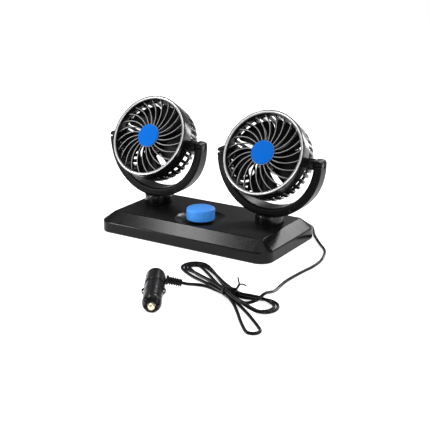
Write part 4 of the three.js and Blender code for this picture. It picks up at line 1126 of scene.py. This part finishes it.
def plug_barrel(radius):
    """The plug's body: a turned barrel that narrows a little towards the nose."""
    return lathe([
        (0, PLUG_SEAM, 0.1), (radius - 0.2, PLUG_SEAM, 0.15), (radius, PLUG_SEAM + 1, 0.4),
        (radius, PLUG_SEAM + 18, 0.8), (radius - 0.35, PLUG_SEAM + 21, 0.8),
        (radius - 0.4, PLUG_NOSE - 1.2, 0.4), (radius - 0.9, PLUG_NOSE - 0.3, 0.3),
        (0, PLUG_NOSE - 0.3, 0.1)], steps=64)


def plug_crown():
    """The tapering nose collar: a turned ring. Notches are cut into its front edge."""
    bore, foot = 5.2, PLUG_NOSE
    return lathe([
        (bore, foot, 0.2), (9.3, foot, 0.4), (9.9, foot + 1.6, 0.5), (9.7, foot + 5, 1.2),
        (8.6, foot + 8.6, 0.9), (6.6, foot + 11, 0.5), (4.4, foot + 11, 0.2), (4.1, foot + 10, 0.2),
        (4.1, foot + 8.2, 0.1), (bore, foot + 8.2, 0.2)], steps=72)


def plug_tip():
    """The sprung tip: a collared pin with a rounded end."""
    pin, collar = 3.6, 4.9
    low, high = PLUG_NOSE + 6, PLUG_NOSE + 7.7
    return lathe([
        (0, 64.4, 0.1), (pin, 64.4, 0.2), (pin, low, 0.1), (collar, low, 0.2), (collar, high, 0.2),
        (pin, high, 0.1), (pin, 75.2, 0.5), (2.9, 77.3, 0.8), (1.2, 78.1, 0.5), (0, 78.2, 0.1)], steps=48)


def side_spring():
    """A side spring: a thin strip on a path that bows out of the barrel's window and back."""
    bow = spline(
        [(9.7, 0, 28.2), (10.3, 0, 30), (11.6, 0, 33), (12.05, 0, 35.5), (11.6, 0, 38.2), (10.3, 0, 42),
         (9.7, 0, 43.8)], 0.5)
    strip = rectangle((-1.3, -0.3), (1.3, 0.3), 0.15, 2)
    return swept(bow, strip, (0, 1.0, 0), square_to(bow, (0, -1, 0)))


def relief_sleeve(ribs):
    """The strain relief: a turned sleeve whose radius goes in and out once for each rib, and shrinks
    outwards."""
    start, end = RELIEF_START, RELIEF_START + RELIEF_LENGTH
    collar, widest, taper, groove = 5.2, 4.75, 0.35, 1.15
    t = np.linspace(0, 1, ribs * 10 + 1)
    wave = np.clip(np.cos(t * ribs * 2 * math.pi) * 2.2, -1, 1) * 0.5 + 0.5
    radius = (widest - taper * t) - groove * (1 - wave) * (t < 0.995)
    ribbed = np.stack([radius, start + 2.2 + t * (RELIEF_LENGTH - 2.4)], 1)
    foot = [(0, start), (collar - 0.3, start), (collar, start + 0.4), (collar, start + 1.7)]
    return turned(np.concatenate([foot, ribbed, [(3.9, end), (0, end)]]), steps=48)


class CARFAN_OT_base(bpy.types.Operator):
    """Make the base's cover with its bevelled sides and the dish round the knob"""
    bl_idname = "car_fan.base"
    bl_label = "Base cover"

    def execute(self, context):
        make("base_shell", [base_shell(settings().base)], "base", "base", ("base_top_cover",),
             sharp=60)
        return {"FINISHED"}


def top_outline(half, corner, middle):
    """The flat top's outline with its outward normals, in order of the direction from a middle. Where a ray
    from the middle leaves a rectangle of half sizes `half` on a straight side, that is a point of it, and
    quarter circles make the corners."""
    ray = heading(np.arange(0, 360, 2.0))
    room = (np.sign(ray) * half - middle) / np.where(np.abs(ray) < 1e-9, 1e-9, ray)
    hits = middle + ray * room.min(1)[:, None]
    normal = np.where(room == room.min(1)[:, None], np.sign(ray), 0)
    on_side = (np.abs(hits) < half - corner - 0.5).any(1)
    for axis in (0, 1):
        on_side &= (np.abs(hits[:, axis]) < half[axis] - corner) | (normal[:, axis] != 0)
    bend = heading(np.linspace(0, 90, 9)[None] + np.array([0, 90, 180, 270.0])[:, None])
    signs = np.array([(1, 1), (-1, 1), (-1, -1), (1, -1)])[:, None]
    corners = signs * (half - corner) + bend * corner
    points = np.concatenate([hits[on_side], corners.reshape(-1, 2)])
    normal = np.concatenate([normal[on_side], bend.reshape(-1, 2)])
    direction = np.arctan2(*(points - middle).T[::-1])
    order = np.argsort(direction)
    return points[order], normal[order], direction[order]


def base_shell(sizes):
    """One grid makes the cover. Its columns are rays from the middle of the dish to the flat top's outline.
    Its rows go out over the dish as circles, then move that outline along its own normal: over the top's
    edge, down the bevel and the side, round the rim, and back inside at the wall's thickness, to a pole
    under the dish."""
    half = np.array([of(sizes, "top_length") / 2, of(sizes, "top_depth") / 2])
    wall, inset, side, rim = (of(sizes, name) for name in ("wall", "bevel_inset", "side_height", "rim_lift"))
    top = side + of(sizes, "bevel_height")
    dish, deep = of(sizes, "dish_radius"), of(sizes, "dish_depth")
    floor, under = top - deep, top - deep - wall
    middle = np.array(KNOB_PLACE)
    start, normal, direction = top_outline(half, of(sizes, "top_corner"), middle)
    spoke = np.stack([np.cos(direction), np.sin(direction)], 1)

    def circles(profile):
        return [with_heights(middle + spoke * radius, height) for radius, height in profile]

    def outlines(profile):
        return [with_heights(start + normal * out, height) for out, height in profile]

    bowl = softened([
        (3, floor, 0.1), (17.6, floor, 1.5), (22.5, floor + 0.35, 2.5), (28.2, top - 1.5, 1.2),
        (dish - 0.15, top - 0.12, 0.14), (dish, top, 0.1)], loop=False)
    outside = softened([
        (-0.45, top, 0.05), (-0.3, top, 0.05), (0, top, 0.7), (1.6, top - 1.18, 0.1),
        (inset - 1.6, side + 1.18, 0.1), (inset, side, 1.1), (inset, side - 1.7, 0.1),
        (inset, rim + 1.2, 0.1), (inset, rim, 0.4)], steps=5, loop=False)
    inside = [(inset - 0.4, rim), (inset - wall, rim), (inset - wall, side - wall * 0.6), (-0.6, top - wall)]
    below = [(33, top - wall), (30.5, top - wall - 0.8), (24, floor - 1.6), (18.5, under), (3, under)]
    rows = circles(bowl) + circles([(dish + 0.02, top), (dish + 0.045, top)])
    rows += outlines(outside) + outlines(inside) + circles(below)
    return surface(np.array(rows), poles=[(*middle, floor), (*middle, under)])


class CARFAN_OT_knob(bpy.types.Operator):
    """Make the blue speed knob"""
    bl_idname = "car_fan.knob"
    bl_label = "Speed knob"

    def execute(self, context):
        sizes = settings().base
        radius, low, high = (of(sizes, name) for name in ("knob_radius", "knob_bottom", "knob_top"))
        hollow, bore = 9, 2.2
        part = lathe([
            (0, high, 0.1), (radius * 0.55, high - 0.08, 2.0), (radius - 1.2, high - 0.5, 1.0),
            (radius, high - 1.9, 0.9), (radius, low + 0.9, 0.4), (radius - 0.8, low, 0.4), (hollow, low, 0.3),
            (hollow, low + 3, 0.3), (bore, low + 3, 0.2), (bore, high - 3, 0.2), (0, high - 3, 0.1)],
            steps=96, soft_steps=5)
        make("knob_cap", [part], "knob", "knob", ("control_knob",), shift(*KNOB_PLACE, 0))
        return {"FINISHED"}


class CARFAN_OT_yokes(bpy.types.Operator):
    """Make both yokes with their swivel posts"""
    bl_idname = "car_fan.yokes"
    bl_label = "Yokes"

    def execute(self, context):
        sizes = settings().yoke
        half = of(sizes, "slot") / 2
        beyond, hole_radius = 80, 4.1
        hole = turned([(0, -beyond), (hole_radius, -beyond), (hole_radius, beyond), (0, beyond)],
                      steps=48)
        hole = placed(hole, Matrix.Rotation(math.pi / 2, 4, "Y"))
        slots = block((-beyond, -20, -half), (beyond, 0, half), 0.1)
        for name, side in SIDES.items():
            place = pivot_frame(side)
            arms = make(f"yoke_arms_{name}", [yoke_arms(sizes)], "yoke", f"yoke_{name}",
                        (f"yoke_{name}",), place)
            cut(arms, [hole, slots], place, sharp=30)
            make(f"swivel_post_{name}", [swivel_post(sizes)], "housing", f"yoke_{name}",
                 (f"yoke_{name}",), place)
        return {"FINISHED"}


def yoke_arms(sizes):
    """The U: a section in (radius, depth) is carried down one arm, round half a circle about the tilt axis
    and up the other. Its depth grows from the pivot's height to the foot in proportion to the drop, and its
    radius is drawn in along a quarter circle at each arm's end."""
    inner, outer, rise, corner = (of(sizes, name) for name in ("inner", "outer", "arm_rise", "arm_corner"))
    narrow, wide = of(sizes, "width_top"), of(sizes, "width_bottom")
    thick = outer - inner
    end = np.linspace(0, math.pi / 2, 9)[::-1]
    above = np.concatenate([rise - corner + corner * np.sin(end), np.linspace(rise - corner, 0, 4)[1:-1]])
    drawn = np.concatenate([corner * (1 - np.cos(end)), np.zeros(2)])
    angle = np.radians(np.linspace(180, 360, 73))
    ones = np.ones(len(above))
    across = np.concatenate([-ones, np.cos(angle), ones])
    up = np.concatenate([0 * ones, np.sin(angle), 0 * ones])
    lift = np.concatenate([above, 0 * angle, above[::-1]])
    shrink = np.concatenate([drawn, 0 * angle, drawn[::-1]])
    # The depth starts to grow this far below the pivot
    level = 10
    drop = np.clip(-(up * outer) - level, 0, None) / (outer - level)
    half_width = (narrow + (wide - narrow) * drop)[:, None] / 2
    # The section is drawn with its back at a nominal depth, and each half is then set from its own face
    far = 20.0
    section = softened([
        (0, 2.8, 0.1), (0, 1.6, 0.5), (1.3, 0.25, 0.3), (2.2, 0, 0.3), (thick - 1.7, 0, 0.12),
        (thick - 1.35, 0.3, 0.12), (thick - 1.0, 0, 0.15), (thick, 0.5, 0.35), (thick, 1.6, 0.1),
        (thick, far - 1.1, 0.1), (thick, far, 0.5), (0, far, 0.5), (0, far - 1.1, 0.1)], steps=3)
    radial = inner + section[None, :, 0] * (1 - shrink / thick)[:, None]
    from_face = section[None, :, 1]
    depth = np.where(from_face > far / 2, from_face - far + half_width, from_face - half_width)
    return surface(np.stack([radial * across[:, None], depth, radial * up[:, None] + lift[:, None]], -1))


def swivel_post(sizes):
    """The post under the yoke: a turned drum with a groove at its foot, drawn in where it meets the yoke."""
    radius, head = of(sizes, "post_radius"), -of(sizes, "outer")
    foot = POST_FOOT - PIVOT_HEIGHT
    return lathe([
        (0, foot, 0.1), (radius - 0.6, foot, 0.2), (radius - 0.6, foot + 0.9, 0.2), (radius, foot + 1.3, 0.3),
        (radius, head + 1.2, 0.9), (radius - 1.6, head + 2.8, 0.9), (0, head + 4.4, 0.1)], steps=72)


class CARFAN_OT_housings(bpy.types.Operator):
    """Make both rear housings: band, ribbed cage, motor mount and pivot bosses"""
    bl_idname = "car_fan.housings"
    bl_label = "Rear housings"

    def execute(self, context):
        sizes = settings().head
        pieces = (
            ("head_band", band_parts(of(sizes, "band_outer")), "rear_housing"),
            ("cage_ribs", cage_parts(sizes.ribs), "rear_housing"),
            ("pivot_bosses", boss_parts(), "rear_housing"),
            ("mount_cup", mount_parts(), "motor_mount"),
        )
        for name, side in SIDES.items():
            place = head_frame(side)
            for label, parts, node in pieces:
                make(f"{label}_{name}", parts, "housing", f"head_{name}", (f"{node}_{name}",),
                     place)
        return {"FINISHED"}


def band_parts(outer):
    """The band: a turned ring with a softened front lip and a slight taper to the back."""
    inner, front, lip, back = 49.1, 22.8, 20.3, 4.5
    return [lathe([
        (outer - 0.65, front, 0.2), (outer, front, 0.35), (outer, 17.6, 0.8), (outer - 0.4, 5.6, 0.6),
        (outer - 1.2, back, 0.5), (inner, back, 0.4), (inner, lip, 0.2), (outer - 0.65, lip, 0.15)],
        steps=128)]


def cage_parts(ribs):
    """The cage: each rib is a soft rectangle carried back from the band and in over a rounded shoulder, and
    is repeated round the axis. A ring joins their ends."""
    spine = spline(
        [(49.4, 0, 7), (49.3, 0, 2), (48.7, 0, -6), (47.6, 0, -12.4), (45.4, 0, -17.4), (42.4, 0, -20),
         (39, 0, -21)], 1.4)
    section = rectangle((-2, -2), (2, 0.9), 0.55)
    rib = swept(spine, section, (0, 1.0, 0), square_to(spine, (0, 1, 0)))
    ring = turned(rectangle((38, -21.9), (41, -19), 0.6), steps=96)
    return [repeated(rib, ribs, math.pi / ribs), ring]


def mount_parts():
    """The motor mount: a turned cup on four flat struts, which cross a guard ring and reach out to the
    cage's rear ring."""
    hole, inner, outer = 5, 12.5, 14.6
    back, front = -23.4, -7
    cup = lathe([
        (hole, back, 0.4), (13, back, 0.8), (outer, -22, 0.8), (outer, front, 0.3), (inner, front, 0.2),
        (inner, -20.7, 0.3), (hole, -20.7, 0.3)], steps=72)
    strut = block((13.8, -1.6, -21.4), (37.6, 1.6, -19), 0.5)
    guard = turned(rectangle((28.9, -21.2), (31.1, -19.2), 0.5), steps=96)
    return [cup, guard, repeated(strut, 4, math.radians(50))]


def boss_parts():
    """Each pivot boss: a pad on the cage, a drum with fine teeth, and the pin that the yoke's arm snaps
    over."""
    teeth, tooth_radius, tooth_depth = 24, 6.35, 0.25
    angle = full_turn(teeth * 6)
    radius = tooth_radius + tooth_depth * np.clip(np.cos(angle * teeth) * 2, -1, 1)
    draw = np.array([0, 0, 0, 0.35])[:, None]
    drum = surface(polar(radius[None] - draw, angle, np.array([46, 52, 56.8, 57.1])[:, None]))
    pin = lathe([(0, 50, 0.1), (3.8, 50, 0.4), (3.8, 67.7, 0.4), (0, 67.7, 0.1)], steps=48, soft_steps=3)
    parts = []
    for side in (1, -1):
        lie = Matrix.Rotation(side * math.pi / 2, 4, "Y")
        low, high = sorted((side * 45.6, side * 50.4))
        parts += [placed(drum, lie), placed(pin, lie), block((low, -8.5, -10.9), (high, 8.5, 6.1), 0.9)]
    return parts


class CARFAN_OT_grilles(bpy.types.Operator):
    """Make both front grilles with their trim rings and bare badges"""
    bl_idname = "car_fan.grilles"
    bl_label = "Front grilles"

    def execute(self, context):
        sizes = settings().head
        front, outer, inner, badge_radius = (
            of(sizes, name) for name in ("ring_front", "ring_outer", "ring_inner", "badge_radius"))
        ring = lathe([
            (inner + 0.9, front - 2.4, 0.2), (outer, front - 2.4, 0.3), (outer, front - 0.7, 0.3),
            (outer - 0.8, front, 0.4), (inner + 1.2, front - 0.3, 0.3), (inner + 0.9, front - 1, 0.2)],
            steps=144, soft_steps=5)
        badge = lathe([
            (0, front - 1.1, 0.1), (badge_radius, front - 1.1, 0.15), (badge_radius, front - 0.2, 0.3),
            (badge_radius - 1.2, front + 0.3, 0.7), (0, front + 0.5, 0.1)], steps=96, soft_steps=5)
        pieces = (
            ("ring", [ring], "silver", "silver_trim", "trim_ring"),
            ("badge", [badge], "badge", "blue_plastic", "hub_badge"),
            ("grille", grille_parts(sizes), "grille", "black_satin", "front_grille"),
        )
        for name, side in SIDES.items():
            place = head_frame(side)
            for label, parts, finish, slot, node in pieces:
                make(f"{label}_{name}", parts, finish, f"head_{name}", (f"{node}_{name}",), place)
        return {"FINISHED"}


def grille_parts(sizes):
    """The grille: a spoke's angle grows with the 1.3rd power of the way out and its front falls with the
    square of it. Its section is narrow with a rounded front. The spokes stand between a hub and a rim."""
    front, inner = of(sizes, "ring_front"), of(sizes, "badge_radius") - 1
    reach, fall, first = 47.6, 3.6, math.radians(4)
    way = np.linspace(0, 1, 26)
    path = polar(inner + way * (reach - inner), sizes.spoke_sweep * way**1.3, front - 1.8 - fall * way**2)
    section = rectangle((-0.62, -3.4), (0.62, 0), [0.2, 0.2, 0.5, 0.5])
    level = path * (1, 1, 0)
    spoke = swept(path, section, square_to(level, (0, 0, -1)), (0, 0, 1.0))
    hub_back, hub_front = front - 6.4, front - 1.3
    hub = lathe(
        [(0, hub_back, 0.1), (14.6, hub_back, 0.4), (14.8, hub_front, 0.4), (0, hub_front, 0.1)], steps=64,
        soft_steps=3)
    rim = lathe([
        (46.6, 13, 0.4), (48.6, 13, 0.4), (48.6, 20.4, 0.2), (47.9, 20.7, 0.2), (47.9, front - 0.7, 0.25),
        (47.2, front - 0.7, 0.25), (46.9, 20.5, 0.4)], steps=128, soft_steps=3)
    return [repeated(spoke, sizes.spokes, first), hub, rim]


class CARFAN_OT_wheels(bpy.types.Operator):
    """Make both fan wheels"""
    bl_idname = "car_fan.wheels"
    bl_label = "Fan wheels"

    def execute(self, context):
        for name, side in SIDES.items():
            make(f"wheel_{name}", wheel_parts(settings().head), "wheel", f"fan_{name}",
                 (f"fan_wheel_{name}",), head_frame(side))
        return {"FINISHED"}


def wheel_parts(sizes):
    """The wheel: a blade's section goes across its width on one side and back on the other. Its angle grows
    with the radius and the width, its height climbs across the width, and its thickness fades at both
    edges."""
    hub_radius, root, tip = 15.0, 14.4, of(sizes, "blade_tip")
    sweep, first = math.radians(12), math.radians(15)
    low, climb, bow, droop, thickest = 3.3, 8.6, 1.6, 0.8, 1.3
    points = 15
    out = np.linspace(0, 1, 12)[:, None]
    t = np.linspace(0, 1, points)
    across = np.concatenate([t, t[-2:0:-1]])[None]
    face = np.concatenate([-np.ones(points), np.ones(points - 2)])[None]
    radius = root + out * (tip - root)
    tip_round = 1 - 0.12 * np.clip((out - 0.75) / 0.25, 0, 1) ** 2
    across_here = 0.5 + (across - 0.5) * tip_round
    thickness = thickest * np.sqrt(np.clip(1 - (2 * across - 1) ** 6, 0, 1)) + 0.1
    middle = low + climb * across_here + bow * np.sin(math.pi * across_here) - droop * out
    height = middle + face * thickness / 2
    blade = surface(polar(radius, sweep * out + sizes.blade_width * across_here, height))
    skirt, roof, bore, sleeve = 13.3, 13.3, 1.4, 3.6
    hub = lathe([
        (0, 13.7, 0.1), (bore, 13.7, 0.2), (bore, 10, 0.2), (sleeve, 10, 0.2), (sleeve, roof, 0.2),
        (skirt, roof, 0.2), (skirt, 1.4, 0.4), (hub_radius, 1.4, 0.4), (hub_radius, 14.2, 0.8), (0, 15, 0.1)],
        steps=64, soft_steps=3)
    return [hub, repeated(blade, sizes.blades, first)]


class CARFAN_PT_panel(bpy.types.Panel):
    """Lists the steps that build the fan."""
    bl_idname = "CARFAN_PT_panel"
    bl_label = "Car Fan"
    bl_space_type = "VIEW_3D"
    bl_region_type = "UI"
    bl_category = "Car Fan"

    def draw(self, context):
        for operator in OPERATORS:
            self.layout.operator(operator.bl_idname)


class CarFanSettings(bpy.types.PropertyGroup):
    """Every group of sizes and finishes."""
    base: bpy.props.PointerProperty(type=BaseSizes, name="Base", description="Sizes of the base")
    yoke: bpy.props.PointerProperty(type=YokeSizes, name="Yokes", description="Sizes of the yokes")
    head: bpy.props.PointerProperty(type=HeadSizes, name="Heads", description="Sizes of the heads")
    cord: bpy.props.PointerProperty(type=CordSizes, name="Cord", description="Sizes of the cord and plug")
    finishes: bpy.props.PointerProperty(type=Finishes, name="Finishes", description="Colours and gloss")
    stage: bpy.props.PointerProperty(type=StageSettings, name="Stage", description="Camera and light")


GROUP_CLASSES = (BaseSizes, YokeSizes, HeadSizes, CordSizes, Finishes, StageSettings, CarFanSettings)
# In the order that the scene needs: the cord comes last
OPERATORS = (
    CARFAN_OT_materials, CARFAN_OT_stage, CARFAN_OT_base, CARFAN_OT_knob, CARFAN_OT_yokes, CARFAN_OT_housings,
    CARFAN_OT_grilles, CARFAN_OT_wheels, CARFAN_OT_gland, CARFAN_OT_tie, CARFAN_OT_plug, CARFAN_OT_cord,
)


def register():
    for cls in (*GROUP_CLASSES, *OPERATORS, CARFAN_PT_panel):
        bpy.utils.register_class(cls)
    bpy.types.Scene.car_fan = bpy.props.PointerProperty(
        type=CarFanSettings, name="Car fan", description="Sizes and finishes of the dual head car fan")


def unregister():
    del bpy.types.Scene.car_fan
    for cls in reversed((*GROUP_CLASSES, *OPERATORS, CARFAN_PT_panel)):
        bpy.utils.unregister_class(cls)


def main():
    """Runs every operator in order."""
    register()
    for operator in OPERATORS:
        group, name = operator.bl_idname.split(".")
        getattr(getattr(bpy.ops, group), name)()


if __name__ == "__main__":
    main()
